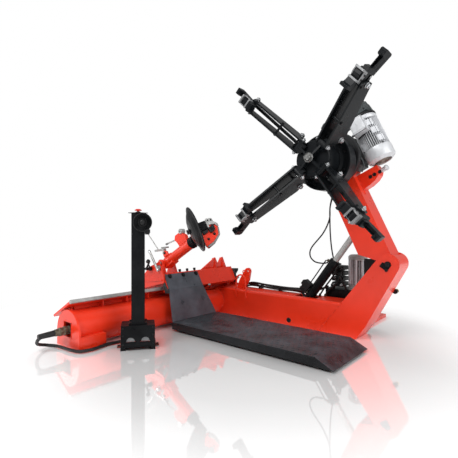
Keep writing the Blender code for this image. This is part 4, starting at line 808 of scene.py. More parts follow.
def make_arm_details():
    body = "chuck_arm"
    cover = [(1.08, -0.0345), (1.08, 0.329), (1.098, 0.34), (1.177, 0.33), (1.1895, 0.302),
        (1.1895, -0.002), (1.168, -0.0345)]
    slab("belt_cover_flange", cover, 0.01, 0.0145, arm, "cover", body, 0.0012)
    builder = bmesh.new()
    for u, v in ((1.1, -0.015), (1.1, 0.15), (1.1, 0.31), (1.172, 0.29), (1.172, 0.14), (1.165, -0.01)):
        add_cap_screw(builder, arm(u, v, -0.0715), FRONT, 0.006, 0.005)
        add_cap_screw(builder, arm(u, v, 0.0945), -FRONT, 0.006, 0.005)
    finish("belt_cover_screws", builder, "bolt", body)
    builder = bmesh.new()
    for x, z in ((1.509, 1.205), (1.547, 1.22), (1.48, 1.19)):
        add_turned(builder, solid((0, 13.5), (3, 13.5), (3, 8.5), (1, 7)), (x, -0.0198, z), FRONT, 20)
    finish("bracket_bosses", builder, "bolt", body)
    stub = Vector((1.548, 0.02, 1.235))
    lathe("bracket_stub", solid((0, 17), (30, 17), (31, 21), (44, 21), (50, 17)), stub, (0.9, -0.15, 0.42),
        "motor", body, 28, 0.001)
    gearbox = bmesh.new()
    corners = ((0.765, -0.13), (0.765, 0.105), (0.985, 0.09), (0.985, -0.105), (0.88, -0.148),
        (0.88, 0.122))
    for u, v in corners:
        add_hex(gearbox, arm(u, v, -0.0998), FRONT, 0.017, 0.009, 0.0125)
        add_hex(gearbox, arm(u, v, 0.0848), -FRONT, 0.017, 0.009, 0.0125)
    for i in range(8):
        spot = ring(CHUCK + FRONT * 0.1935, 0.098, FRONT, 22.5 + 45 * i, 22.5 + 45 * i, 1)[0]
        add_hex(gearbox, spot, FRONT, 0.013, 0.005)
    finish("gearbox_bolts", gearbox, "bolt", body, 0.0006, 1)
    lathe("gearbox_bell", solid((98, 150), (128, 184), (150, 190), (184, 190), (188, 184)),
        CHUCK + ARM_OUT * 0.04 + ARM_UP * 0.03, FRONT, "cast", body, 64, 0.001)
    lathe("gearbox_cap", solid((0, 75), (8, 75), (14, 68)), arm(0.88, -0.015, 0.0845), -FRONT, "cast", body,
        48, 0.001)
    lathe("gearbox_filler", solid((0, 12), (6, 12), (7, 16), (18, 16), (20, 12)), arm(0.96, -0.1445, 0.0),
        -ARM_OUT + ARM_UP * 0.6, "bright", body, 18)
    around = ((-0.168, -0.095), (0.046, -0.095), (0.046, 0.095), (-0.168, 0.095), (-0.168, -0.095))
    rim = [arm(0.737, v, y) for v, y in around]
    weld("arm_head_weld", rim, body)
    builder = bmesh.new()
    for v in (-0.15, -0.1, -0.045, 0.01):
        add_hex(builder, arm(0.722, v, -0.0938), FRONT, 0.015, 0.008, 0.011)
    finish("arm_head_bolts", builder, "bolt", body)
    slab("arm_head_plate", [(0.704, -0.166), (0.704, 0.03), (0.735, 0.03), (0.735, -0.166)], -0.0965,
        -0.0935, arm, "black", body, 0.0008)
    weld("bracket_weld", [arm(0.535, 0.0465, -0.0205), arm(0.69, 0.0465, -0.0205)], body)


# ---------------------------------------------------------------- lift cylinder, power unit, hoses

def make_cylinder_details():
    foot, eye = Vector((0.931, 0, 0.19)), Vector((1.373, 0, 0.796))
    along = (eye - foot).normalized()
    left = Vector((-along.z, 0, along.x))
    gland = foot + along * 0.452
    lathe("barrel_gland", hollow((-34, 37.5), (-34, 40.5), (-2, 40.5), (3.5, 37.5), (3.5, 26), (-6, 25.2)),
        gland, along, "black", "lift_barrel", 40)
    lathe("rod_wiper", hollow((3.2, 25.6), (3.2, 32), (6.2, 31), (7.5, 25.6)), gland, along, "plastic",
        "lift_barrel", 40)
    ports = bmesh.new()
    for reach in (0.425, 0.09):
        add_turned(ports, solid((0, 14), (12, 14), (13, 11), (20, 11)),
            foot + along * reach + left * 0.034 + FRONT * 0.012, left + FRONT * 0.3, 6)
    finish("barrel_ports", ports, "fitting", "lift_barrel", 0.0008, 1)
    stations = ((0.418, 0.056, 0.018), (0.395, 0.058, 0.02), (0.28, 0.056, 0.02), (0.16, 0.056, 0.02))
    pipe = [foot + along * reach + left * off + FRONT * out for reach, off, out in stations]
    bead("barrel_pipe", curve(pipe), 0.005, "hose", "lift_barrel")
    turn = Matrix((along, FRONT, left)).transposed().to_4x4()
    valve = Matrix.Translation(foot + along * 0.13 + left * 0.07 + FRONT * 0.018) @ turn
    builder = bmesh.new()
    add_box(builder, (0.1, 0.046, 0.062), valve)
    add_box(builder, (0.04, 0.034, 0.02), valve @ Matrix.Translation((0.012, 0, 0.038)))
    finish("lock_valve", builder, "cast", "lift_barrel", 0.003)
    builder = bmesh.new()
    for step in (-0.034, 0.034):
        for sideways in (-0.014, 0.014):
            add_cap_screw(builder, valve @ Vector((step, sideways, 0.0305)), left, 0.005, 0.006)
    finish("lock_valve_screws", builder, "bolt", "lift_barrel")


def make_hoses():
    top = arm(0.742, -0.12, -0.06)
    upper = [top, Vector((1.205, -0.05, 1.09)), Vector((1.178, -0.05, 0.98)), Vector((1.172, -0.05, 0.885))]
    lower = [Vector((1.12, -0.05, 0.777)), Vector((1.019, -0.05, 0.66)), Vector((1.004, -0.048, 0.592)),
        Vector((1.045, -0.046, 0.546)), Vector((1.118, -0.044, 0.536)), Vector((1.152, -0.034, 0.545))]
    behind = [arm(0.742, -0.15, 0.055), Vector((1.15, 0.055, 1.085)), Vector((1.128, 0.055, 0.985)),
        Vector((1.125, 0.058, 0.887)), Vector((1.128, 0.06, 0.766)), Vector((1.14, 0.06, 0.648)),
        Vector((1.16, 0.064, 0.552)), Vector((1.178, 0.1, 0.5)), Vector((1.185, 0.16, 0.485))]
    first = hose("arm_hose_a", upper + lower, 0.0056, None)
    second = hose("arm_hose_b", behind, 0.0056, None)
    for piece in (first, second):
        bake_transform(piece)
    runs = {
        "bundle_a": [
            (0.14, 0.13, 0.205), (0.25, 0.12, 0.262), (0.42, 0.098, 0.27), (0.64, 0.088, 0.268),
            (0.82, 0.07, 0.27), (0.89, 0.04, 0.262), (0.935, 0.01, 0.215)
        ],
        "bundle_b": [
            (0.14, 0.14, 0.225), (0.26, 0.108, 0.284), (0.45, 0.08, 0.272), (0.66, 0.066, 0.268),
            (0.81, 0.046, 0.284), (0.905, 0.0, 0.29), (0.96, -0.02, 0.305)
        ],
        "bundle_c": [
            (0.15, 0.125, 0.235), (0.3, 0.092, 0.296), (0.48, 0.092, 0.29), (0.7, 0.074, 0.288),
            (0.86, 0.06, 0.296), (1.0, 0.085, 0.3), (1.075, 0.14, 0.33)
        ],
        "loop_a": [(0.99, 0.072, 0.262), (1.01, 0.076, 0.33), (1.06, 0.092, 0.4), (1.088, 0.15, 0.45)],
        "loop_b": [
            (1.03, 0.074, 0.262), (1.075, 0.072, 0.33), (1.15, 0.068, 0.43), (1.19, 0.085, 0.52),
            (1.17, 0.165, 0.52)
        ],
        "loop_c": [(1.075, 0.078, 0.262), (1.095, 0.086, 0.3), (1.16, 0.092, 0.36), (1.18, 0.14, 0.43)],
        "loop_d": [(1.24, 0.12, 0.318), (1.225, 0.095, 0.37), (1.19, 0.1, 0.43), (1.182, 0.165, 0.47)],
    }
    for name, points in runs.items():
        radius = 0.0092 if name.startswith("bundle") else 0.0068
        hose(f"{name}_hose", points, radius, "base")
    glands = bmesh.new()
    for x, y in ((0.99, 0.072), (1.03, 0.074), (1.075, 0.078)):
        add_turned(glands, solid((0, 12), (10, 12), (11, 9.5), (20, 9.5)), (x, y, 0.2528), UP, 6)
    finish("beam_fittings", glands, "fitting", "base", 0.0006, 1)
    builder = bmesh.new()
    for x in (0.42, 0.64):
        add_box(builder, (0.014, 0.07, 0.034), (x, 0.086, 0.268))
    finish("bundle_clips", builder, "bolt", "base", 0.003)


def make_power_unit():
    body = "base"
    shell = lathe("pump_bell", solid((0, 84), (12, 84), (16, 73), (40, 73), (44, 69)), PUMP, UP, "pump",
        body, 48, 0.001)
    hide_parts("pump_motor")
    # painted shade: the pump's core between the fins is near-black
    lathe("pump_core", solid((40, 60), (246, 60)), PUMP, UP, "motor_dark", body, 40)
    fins = bmesh.new()
    thin = [(11.25 * i, (0.016, 0.0034, 0.196), 0.0655) for i in range(32)]
    thick = [(angle, (0.02, 0.012, 0.2), 0.066) for angle in (-118, -78, -38, 150, 60)]
    for angle, size, reach in thin + thick:
        around = Vector((math.cos(math.radians(angle)), math.sin(math.radians(angle)), 0))
        add_rib(fins, size, PUMP + UP * 0.144 + around * reach, around, UP)
    finish("pump_fins", fins, "motor", body, 0.0005, 1)
    lathe("pump_fan_cover", solid((240, 74), (268, 75), (278, 66), (284, 56)), PUMP, UP, "pump", body, 48)
    box = bmesh.new()
    add_box(box, (0.06, 0.03, 0.07), PUMP + Vector((-0.02, 0.083, 0.135)))
    add_box(box, (0.064, 0.006, 0.074), PUMP + Vector((-0.02, 0.1, 0.135)))
    finish("pump_terminal_box", box, "pump", body, 0.004)
    tank = bmesh.new()
    add_box(tank, (0.312, 0.222, 0.008), TANK)
    add_box(tank, (0.312, 0.222, 0.008), (TANK.x, TANK.y, 0.08))
    finish("tank_flanges", tank, "black", body, 0.002)
    lathe("tank_filler", solid((0, 15), (14, 15), (15, 21), (32, 21), (38, 16)), (1.105, 0.165, 0.3155), UP,
        "plastic", body, 20, 0.001)
    lathe("tank_gauge", solid((0, 16), (5, 16), (7, 12)), (1.1, 0.1255, 0.2), FRONT, "fitting", body, 28)
    parts = bmesh.new()
    for z in (0.35, 0.395, 0.44, 0.485):
        add_box(parts, (0.098, 0.118, 0.036), (1.142, 0.22, z))
    add_box(parts, (0.07, 0.074, 0.032), (1.098, 0.215, 0.455))
    main = finish("valve_stack", parts, "cast", body, 0.004)
    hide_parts("valve_block")
    coils = bmesh.new()
    for z in (0.395, 0.44, 0.485):
        add_turned(coils, solid((0, 15), (34, 15), (36, 9), (44, 9)), (1.15, 0.162, z), FRONT, 20)
        add_box(coils, (0.024, 0.022, 0.026), (1.176, 0.14, z))
    finish("valve_coils", coils, "plastic", body, 0.0015)
    fittings = bmesh.new()
    for x, z in ((1.088, 0.455), (1.12, 0.35), (1.12, 0.408), (1.182, 0.35)):
        add_turned(fittings, solid((0, 11), (10, 11), (11, 8.5), (22, 8.5)), (x, 0.158, z), FRONT, 6)
    finish("valve_fittings", fittings, "bright", body)
    plate = bmesh.new()
    add_box(plate, (0.095, 0.006, 0.222), (1.42, 0.145, 0.465))
    add_box(plate, (0.11, 0.04, 0.008), (1.4, 0.14, 0.352))
    finish("power_switch_plate", plate, "cast", body, 0.002)
    builder = bmesh.new()
    add_turned(builder, solid((0, 18), (20, 18), (22, 14), (40, 14)), (1.612, 0.1095, 0.345), (0, 1, 0), 20)
    finish("leg_plug", builder, "bolt", body, 0.001)
    lathe("leg_plug_cap", solid((0, 15), (8, 15), (10, 11)), (1.612, 0.149, 0.345), (0, 1, 0), "yellow",
        body, 20)


# ---------------------------------------------------------------- frame

def make_frame_details():
    body = "base"
    weld("tube_front_weld", ring(TUBE - FRONT * FRONT_SEAM, TUBE_SEAM, FRONT), body)
    weld("tube_rear_weld", ring(TUBE - FRONT * REAR_SEAM, TUBE_SEAM, FRONT), body)
    for name, y in (("front", -BEAM_FACE), ("rear", BEAM_FACE)):
        turns = [math.radians(t) for t in range(84, -62, -3)]
        seam = [Vector((0.1242 * math.cos(a), y, TUBE.z + 0.1242 * math.sin(a))) for a in turns]
        weld(f"saddle_weld_{name}", seam, body)
        weld(f"leg_seam_{name}", [Vector((1.106, y, 0.014)), Vector((1.296, y, 0.252))], body, 0.0026)
    slab("guide_weld_web", [(-0.06, 0.205), (0.085, 0.205), (0.085, GUIDE_UNDER), (-0.06, GUIDE_UNDER)],
        -1.53, -1.516, guide, "red", body, 0.001)
    # in the guide's slope the tube's outside is an arc round this point
    middle = (TUBE.z * math.sin(SLOPE), TUBE.z * math.cos(SLOPE))
    saddle = arc(middle, 0.1235, 172, 52, 10)
    ribs = bmesh.new()
    for y in (-1.32, -1.12, -0.92, 0.06, 0.185):
        add_slab(ribs, [(-0.078, GUIDE_UNDER)] + saddle + [(0.15, GUIDE_UNDER)], y, y + 0.01, guide)
    finish("guide_ribs", ribs, "red", body, 0.001)
    rail = bmesh.new()
    for i in range(12):
        add_cap_screw(rail, guide(0.14, 0.2682, -1.5 + 0.145 * i), guide(0, 1, 0), 0.007, 0.0035)
    finish("guide_screws", rail, "bolt", body)
    lathe("beam_plug", solid((0, 20), (3.5, 20), (5.5, 17.5), (5.5, 9), (3, 8)), (0.839, -0.1075, 0.054),
        FRONT, "plastic", body, 32)
    builder = bmesh.new()
    add_hex(builder, (1.621, -0.116, 0.521), FRONT, 0.016, 0.008, 0.012)
    add_turned(builder, solid((0, 15.5), (4, 15.5), (6, 12), (6, 5), (3, 4.5)), KNEE + FRONT * 0.1215,
        FRONT, 28)
    finish("knee_pin_keeper", builder, "bolt", body, 0.0008, 1)
    lathe("knee_pin_collar", hollow((0, 23), (0, 34), (6, 34), (8, 31), (8, 23)), KNEE - FRONT * 0.11,
        (0, 1, 0), "black", body, 36)
    port = bmesh.new()
    # the middle of each strip and its size: above, below, left and right of the port
    strips = ((0, 0.178, 0.112, 0.005), (0, 0.074, 0.112, 0.005), (-0.0535, 0.126, 0.005, 0.099),
        (0.0535, 0.126, 0.005, 0.099),)
    for x, z, wide, high in strips:
        add_box(port, (wide, 0.004, high), (x, -1.5705, z))
    finish("port_frame", port, "red", body, 0.001)
    builder = bmesh.new()
    axis = Vector((0, -1, -0.04))
    add_turned(builder, solid((-20, 29), (4, 29), (6, 25), (14, 25), (16, 32), (36, 32), (38, 26.5),
        (50, 26.5)), PORT, axis, 8)
    add_turned(builder, solid((50, 28.5), (68, 28.5), (72, 24), (96, 23), (100, 18)), PORT, axis, 24)
    finish("port_fitting", builder, "fitting", body, 0.0012)
    lathe("port_sleeve", solid((100, 20.5), (128, 19.5), (196, 17.5), (202, 15)), PORT, axis, "hose", body,
        28)
    lathe("anchor_boss", hollow((0, 14), (0, 22.5), (4, 22.5), (5, 20), (5, 14)),
        centre_of("anchor_lug") + Vector((0.012, -0.012, 0.055)), FRONT, "red", body, 28)


# ---------------------------------------------------------------- control post

def make_console_details():
    body = "base"
    cap = bmesh.new()
    add_turned(cap, hollow((912.8, 18), (912.8, 66.1), (917.3, 66.1), (917.3, 18)), (0, 0, 0), UP, 4)
    bmesh.ops.transform(cap, matrix=CONSOLE @ Matrix.Rotation(math.radians(45), 4, "Z"), verts=cap.verts)
    finish("post_cap", cap, "plastic", body, 0.0016)
    flange = bmesh.new()
    add_box(flange, (0.12, 0.104, 0.007), post_matrix((0, 0, 0.1678)))
    finish("post_flange", flange, "black", body, 0.0015)
    bolts("post_flange_bolts", [(post(x, y, 0.171), UP) for x in (-0.053, 0.053) for y in (-0.045, 0.045)],
        body, across=0.012, height=0.006, washer=0.009)
    windows = bmesh.new()
    for x in (-0.048, 0.048):
        add_slab(windows, arc((x, 0.059), 0.027, 0, 180, 10), -0.0705, -0.069, post_face)
    finish("console_windows", windows, "window", body, 0.0)
    lips = bmesh.new()
    for x in (-0.048, 0.048):
        add_box(lips, (0.066, 0.006, 0.0045), post_matrix((x, -0.0765, 0.0565)))
    add_box(lips, (0.222, 0.004, 0.006), post_matrix((0, -0.0765, 0.024)))
    finish("console_lips", lips, "black", body, 0.001)
    bolts("console_screws", [(post(x, -0.0752, z), CONSOLE_OUT) for x in (-0.096, 0.096)
        for z in (0.04, 0.1, 0.148)], body, across=0.008, height=0.003, washer=0.006)
    corners = bmesh.new()
    for x, y in ((-0.125, 0.03), (0.125, 0.03)):
        add_box(corners, (0.03, 0.055, 0.006), post_matrix((x, y, 0.0035)))
        add_box(corners, (0.006, 0.055, 0.034), post_matrix((x * 0.915, y, 0.02)))
    finish("console_corner_feet", corners, "copper", body, 0.0012)
    bolts("console_foot_bolts", [(post(x, 0.03, 0.0062), UP) for x in (-0.128, 0.128)], body, across=0.011,
        height=0.006, washer=0.008)
    holder = bmesh.new()
    add_box(holder, (0.038, 0.03, 0.026), post_matrix((0.06, -0.0585, 0.79)))
    add_box(holder, (0.03, 0.022, 0.012), post_matrix((0.06, -0.0585, 0.774)))
    finish("stick_switch_box", holder, "plastic", body, 0.003)
    origin = post(0.028, -0.0445, 0.849)
    lathe("guard_bead", hollow((47, 59.5), (47, 63), (52, 63), (52, 57), (49.5, 56.5)), origin, CONSOLE_OUT,
        "plastic", body, 56)
    lathe("boot_flange", hollow((6, 12), (6, 31), (7.8, 30), (7.8, 12)), origin, CONSOLE_OUT, "hose", body,
        36)
    lathe("stick_boot", solid((13, 20), (15.5, 21), (18, 17), (20.5, 18), (23, 14), (25.5, 14.8), (28, 10),
        (30, 8.5)), origin, CONSOLE_OUT, "hose", "joystick", 32)
    lathe("stick_ring", hollow((60, 12), (60, 16.5), (63, 16.5), (63, 12)), origin, CONSOLE_OUT, "plastic",
        "joystick", 28)
    lathe("stop_collar", hollow((0, 10.2), (0, 18), (4, 18.5), (5.2, 15), (5.2, 10.2)), post(0, 0, 0.9172),
        UP, "plastic", body, 32)
    lathe("stop_crown", solid((0, 12), (1.2, 12.5), (2.2, 9)), post(0, 0, 0.9402), UP, "button",
        "stop_button", 32)


# ---------------------------------------------------------------- carriage and tool arm

def make_carriage_details():
    body = "carriage"
    tread = bmesh.new()
    # the platform's upper face, the x where its ramp begins and ends, and the ramp's lower end
    top, crest, tip, low = 0.07, 1.45, 1.566, 0.014
    slope = Vector((tip - crest, 0, low - top)).normalized()
    rows, columns, gap, lean = 13, 31, 0.0392, 42
    for row in range(rows):
        y = -0.81 + gap * row
        shift = gap / 2 if row % 2 else 0
        for column in range(columns):
            turn = lean if (row + column) % 2 else -lean
            add_lug(tread, Vector((0.236 + gap * column + shift, y, top)), RIGHT, turn)
        for column in range(3):
            turn = lean if (row + column) % 2 else -lean
            along = 0.02 + gap * column + shift
            if along < 0.115:
                add_lug(tread, Vector((crest, y, top)) + slope * along, slope, turn)
    finish("platform_tread", tread, "tread", body, 0)
    edge = bmesh.new()
    add_box(edge, (1.236, 0.0035, 0.01), (0.832, -0.8305, 0.064))
    finish("platform_edge", edge, "tread", body, 0.001)
    builder = bmesh.new()
    stud = solid((0, 8.5), (4, 8.5), (4, 11.5), (22, 11.5), (24, 9.5))
    for y in (-0.636, -0.551, -0.464):
        add_turned(builder, stud, (0.085, y, 0.444), (-0.15, 0, 1), 14)
    finish("ridge_bolts", builder, "bolt", body)
    out = guide(1, 0, 0).normalized()
    builder = bmesh.new()
    for y in (-0.782, -0.636, -0.487):
        add_hex(builder, guide(0.3064, 0.317, y), out, 0.026, 0.01, 0.019)
    finish("apron_bolts", builder, "bolt", body, 0.0008, 1)
    slate = [(0.02, 0.424), (0.135, 0.43), (0.186, 0.33), (0.166, 0.29), (0.14, 0.3), (0.128, 0.362),
        (0.03, 0.378)]
    slab("front_closer", [(0.134, 0.378), (0.17, 0.325), (0.186, 0.335), (0.19, 0.296), (0.15, 0.292),
        (0.12, 0.352)], -0.8485, -0.8365, side, "cover", body, 0.001)
    slab("rear_closer", slate, 0.0165, 0.0225, side, "cover", body, 0.001)
    slab("rear_guard", [(0.004, 0.396), (0.022, 0.421), (0.166, 0.43), (0.168, 0.412), (0.124, 0.345),
        (0.03, 0.352)], 0.046, 0.052, side, "cover", body, 0.001)
    stays = bmesh.new()
    for x, z in ((0.05, 0.388), (0.12, 0.392)):
        add_turned(stays, solid((0, 8), (24, 8)), (x, 0.0222, z), (0, 1, 0), 16)
        add_hex(stays, (x, 0.0518, z), (0, 1, 0), 0.014, 0.007, 0.011)
    finish("rear_guard_stays", stays, "bolt", body)
    wiper = bmesh.new()
    for y in (-0.848, 0.017):
        add_slab(wiper, [(-0.095, 0.269), (0.172, 0.269), (0.172, 0.286), (-0.095, 0.286)], y, y + 0.01,
            guide)
    finish("guide_wipers", wiper, "hose", body, 0.001)
    weld("ridge_weld", [guide(0.287, 0.35, -0.376), guide(0.287, 0.35, -0.01)], body, 0.003)
    for index, y in enumerate((-0.7905, -0.6095)):
        weld(f"bracket_weld_{index}", [guide(0.052, 0.3605, y), guide(0.266, 0.3605, y)], body, 0.0028)
    seam = ((-0.132, 0.42), (-0.066, 0.491), (0.064, 0.542), (0.127, 0.434))
    weld("end_plate_weld", [side(x, z, -0.8375) for x, z in seam], body, 0.0026)
    slab("carriage_rib", [(-0.12, 0.362), (0.11, 0.39), (0.112, 0.402), (-0.118, 0.376)], -0.8545, -0.8478,
        side, "red", body, 0.0012)
    lever = bmesh.new()
    add_path(lever, dense([(-0.086, -0.894, 0.462), (-0.03, -0.894, 0.492), (0.006, -0.894, 0.545)], 0.01),
        0.0075, 12)
    add_path(lever, dense([(-0.012, -0.894, 0.52), (0.006, -0.894, 0.5)], 0.01), 0.0062, 12)
    finish("clamp_lever", lever, "bolt", body)
    lathe("clamp_knob", solid((0, 10), (4, 16.5), (20, 16.5), (26, 11)), (-0.022, -0.894, 0.536),
        (0.75, 0, 0.6), "plastic", body, 20)
    lathe("clamp_boss", hollow((0, 0), (0, 18), (20, 18), (24, 11), (50, 11), (52, 0)),
        (-0.034, -0.848, 0.48), FRONT, "cast", body, 24, 0.001)
    lathe("lock_washer", hollow((0, 15), (0, 23.5), (3.5, 23.5), (3.5, 15)), (0.07, -0.8485, 0.492), FRONT,
        "bright", "tilt_lock", 28)
    tips = bmesh.new()
    for x, z, axis in ((0.083, 0.478, (0.6, 0, -0.8)), (-0.029, 0.622, (-0.75, 0, 0.66))):
        add_turned(tips, solid((-12, 10), (-6, 11.8), (6, 11.8), (12, 10)), (x, -0.87, z), axis, 20)
    finish("lock_handle_tips", tips, "chrome", "tilt_lock")


def add_lug(builder, spot, along, lean):
    """One raised lens of tread plate on a surface whose uphill direction is along."""
    across = Vector((0, 1, 0))
    normal = along.cross(across)
    if normal.z < 0:
        normal = -normal
    turn = math.radians(lean)
    a = along * math.cos(turn) + across * math.sin(turn)
    b = across * math.cos(turn) - along * math.sin(turn)
    long, wide, high, sunk = 0.0135, 0.004, 0.0016, 0.0004
    lens = ((-1, 0), (-0.45, -1), (0.45, -1), (1, 0), (0.45, 1), (-0.45, 1))
    base = [spot + a * (long * p) + b * (wide * q) - normal * sunk for p, q in lens]
    crown = [spot + a * (long * 0.72 * p) + b * (wide * 0.55 * q) + normal * high for p, q in lens]
    lower, upper = [builder.verts.new(p) for p in base], [builder.verts.new(p) for p in crown]
    builder.faces.new(upper)
    builder.faces.new(list(reversed(lower)))
    for i in range(6):
        j = (i + 1) % 6
        builder.faces.new((lower[i], lower[j], upper[j], upper[i]))


def make_tool_details():
    body = "tool_arm"
    bead("gauge_rod", dense([(-0.016, -0.79, 0.64), (-0.158, -0.79, 0.772)], 0.02), 0.0042, "satin", body)
    bar = bmesh.new()
    add_box(bar, (0.118, 0.034, 0.017), tilted((-0.068, -0.725, 0.628), -8))
    add_box(bar, (0.016, 0.03, 0.04), (-0.012, -0.725, 0.618))
    finish("catch_bar", bar, "satin", body, 0.002)
    plate = bmesh.new()
    add_box(plate, (0.066, 0.034, 0.012), tilted((-0.02, -0.712, 0.652), -6))
    finish("catch_plate", plate, "steel", body, 0.002)
    slab("catch_lug", [(0.004, 0.038), (0.062, 0.038), (0.058, 0.072), (0.024, 0.094), (0.004, 0.086)],
        -0.034, -0.018, tool, "red", body, 0.002)
    lathe("catch_pivot", solid((0, 10), (6, 10), (8, 7)), tool(0.03, 0.068, -0.034), FRONT, "bolt", body,
        18)
    root = bmesh.new()
    add_slab(root, [(-0.03, -0.052), (0.085, -0.044), (0.085, -0.03), (-0.03, -0.03)], -0.036, 0.036, tool)
    add_slab(root, [(-0.02, 0.03), (0.1, 0.034), (0.07, 0.05), (-0.01, 0.048)], -0.012, 0.012, tool)
    finish("tool_root_web", root, "red", body, 0.003)
    lathe("tool_root_collar", hollow((-4, 40.5), (-4, 45.5), (34, 45.5), (40, 40.5)), tool(0, 0), TOOL_DIR,
        "red", body, 40)
    weld("lug_weld", [tool(0.204, 0.0408, -0.0165), tool(0.303, 0.0408, -0.0165)], body, 0.0026)
    lathe("tool_end_band", hollow((0, 40.5), (0, 43.5), (12, 43.5), (14, 40.5)), tool(0.313, 0), TOOL_DIR,
        "red", body, 40)
    roller = tool(0.278, 0.139, -0.02)
    lathe("index_roller", solid((-6, 19), (-2, 21.5), (36, 21.5), (40, 19)), roller, (0, 1, 0), "satin",
        body, 28)
    lathe("index_roller_pin", solid((-9, 7), (44, 7)), roller, (0, 1, 0), "nut", body, 16)
    bead("index_lever_flat", dense([(0.076, -0.7, 0.7095), (-0.014, -0.7, 0.682)], 0.02), 0.006, "steel",
        "index_pin")
    lathe("disc_hub_cap", solid((-50, 15), (-47, 17.5), (-40, 19)), DISC - DISC_AXIS * 0.012, DISC_AXIS,
        "bolt", "bead_disc", 6)
    lathe("disc_edge", hollow((13.8, 170), (14, 172.2), (18.5, 172.4), (20.5, 170.5), (19, 169)),
        DISC - DISC_AXIS * 0.012, DISC_AXIS, "black", "bead_disc", 88)
    lathe("head_collar_band", hollow((2, 45.5), (2, 48), (12, 48), (14, 45.5)), tool(0.3285, 0), TOOL_DIR,
        "black", "tool_head", 40)
    screws = bmesh.new()
    collar = tool(0.3525, 0)
    for turn in range(0, 360, 60):
        spot = ring(collar, 0.0455, TOOL_DIR, turn, turn, 1)[0]
        add_cap_screw(screws, spot, (spot - collar).normalized(), 0.006, 0.005)
    finish("head_collar_screws", screws, "bolt", "tool_head")
    block = bmesh.new()
    for along in (-0.15, -0.1):
        for down in (-0.022, 0.03):
            add_cap_screw(block, head(0.0868, down, along), DISC_AXIS, 0.008, 0.008)
    finish("head_block_screws", block, "bright", "tool_head")
    make_hook()


def make_hook():
    """The mounting hook: a red D plate, a bolted clamp, and the hardened tip on its top edge."""
    body = "tool_head"
    outline = [(0.0875, 0.022), (0.112, 0.01), (0.156, 0.026), (0.164, 0.052), (0.15, 0.104),
        (0.092, 0.148), (0.036, 0.166), (0.024, 0.15), (0.024, 0.04), (0.0875, 0.037)]
    main = slab("hook_plate", outline, -0.012, 0.012, head, "red", body, 0.0025)
    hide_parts("hook_body")
    rib = [(0.03, 0.158), (0.04, 0.17), (0.096, 0.152), (0.154, 0.108), (0.168, 0.054), (0.158, 0.052),
        (0.146, 0.1), (0.09, 0.14)]
    slab("hook_rib", rib, -0.019, 0.019, head, "nut", body, 0.002)
    tip = bmesh.new()
    add_slab(tip, [(0.09, -0.014), (0.146, -0.006), (0.17, 0.02), (0.172, 0.044), (0.16, 0.042),
        (0.148, 0.018), (0.09, 0.009)], -0.02, 0.024, head)
    add_slab(tip, [(0.098, -0.04), (0.106, -0.046), (0.146, -0.036), (0.15, -0.005), (0.098, -0.013)],
        -0.02, 0.016, head)
    add_slab(tip, [(0.09, 0.008), (0.104, 0.01), (0.104, 0.034), (0.09, 0.03)], 0.012, 0.026, head)
    main = finish("hook_hard_tip", tip, "satin", body, 0.003)
    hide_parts("hook_tip")
    clamp = bmesh.new()
    add_slab(clamp, [(0.088, 0.034), (0.128, 0.02), (0.14, 0.034), (0.134, 0.062), (0.104, 0.074),
        (0.088, 0.066)], 0.011, 0.03, head)
    add_slab(clamp, [(0.035, 0.034), (0.088, 0.034), (0.08, 0.062), (0.04, 0.07)], -0.03, 0.022, head)
    finish("hook_clamp", clamp, "cast", body, 0.003)
    axis = head(0, 0, 1) - head(0, 0, 0)
    pins = bmesh.new()
    heads = ((0.114, 0.046, 0.0295, 0.018), (0.062, 0.11, 0.0118, 0.014), (0.118, 0.088, 0.0118, 0.014))
    for out, down, along, size in heads:
        add_hex(pins, head(out, down, along), axis, size, 0.009, size * 0.7)
    for out, down in ((0.112, -0.026), (0.136, -0.022)):
        add_cap_screw(pins, head(out, down, 0.0158), axis, 0.0065, 0.005)
    finish("hook_bolts", pins, "bolt", body)


make_chuck_details()
make_motor()
make_arm_details()
make_cylinder_details()
make_hoses()
make_power_unit()
make_frame_details()
make_console_details()
make_carriage_details()
make_tool_details()

# ---------------------------------------------------------------- stage

# how the floor changes with distance from its centre: near, far, and the values there
FLOOR_CENTRE = (0.8, -0.6, 0)
FLOOR_FADE = (1.5, 2.7)
# FLOOR_SHADE darkens the floor's colour near the machine, a painted shadow under it; FLOOR_GLOW makes the
# floor glow further out, painted light
FLOOR_SHADE = (0.5, 1.7, 0.62, 1.0)
FLOOR_GLOW = (1.0, 1.9, 0.0, 0.3)
FLOOR_MIRROR = (1.2, 2.4, 0.3, 0.0)
MIRROR_GAIN = (1.9, 1.9, 1.9, 1.0)
AMBIENT = 0.36
CAMERA_PLACE, CAMERA_TURN, CAMERA_LENS, CAMERA_SHIFT = (2.447, -2.738, 0.785), 40.7, 28.8, 0.0065
# name, place, what it points at, size in metres, power in watts, and whether the floor mirrors it
LIGHTS = (("key", (1.2, -4.2, 4.2), (0.7, -0.4, 0.5), (3.5, 2.5), 175, True),
    ("side", (4.6, -0.8, 2.6), (0.8, -0.3, 0.7), (2.5, 2.5), 80, True),
    ("back", (-2.4, 2.8, 3.6), (0.7, -0.2, 0.7), (3.0, 2.5), 110, False),
    ("left", (-3.0, -3.0, 2.2), (0.3, -0.7, 0.5), (2.5, 2.5), 50, True),)


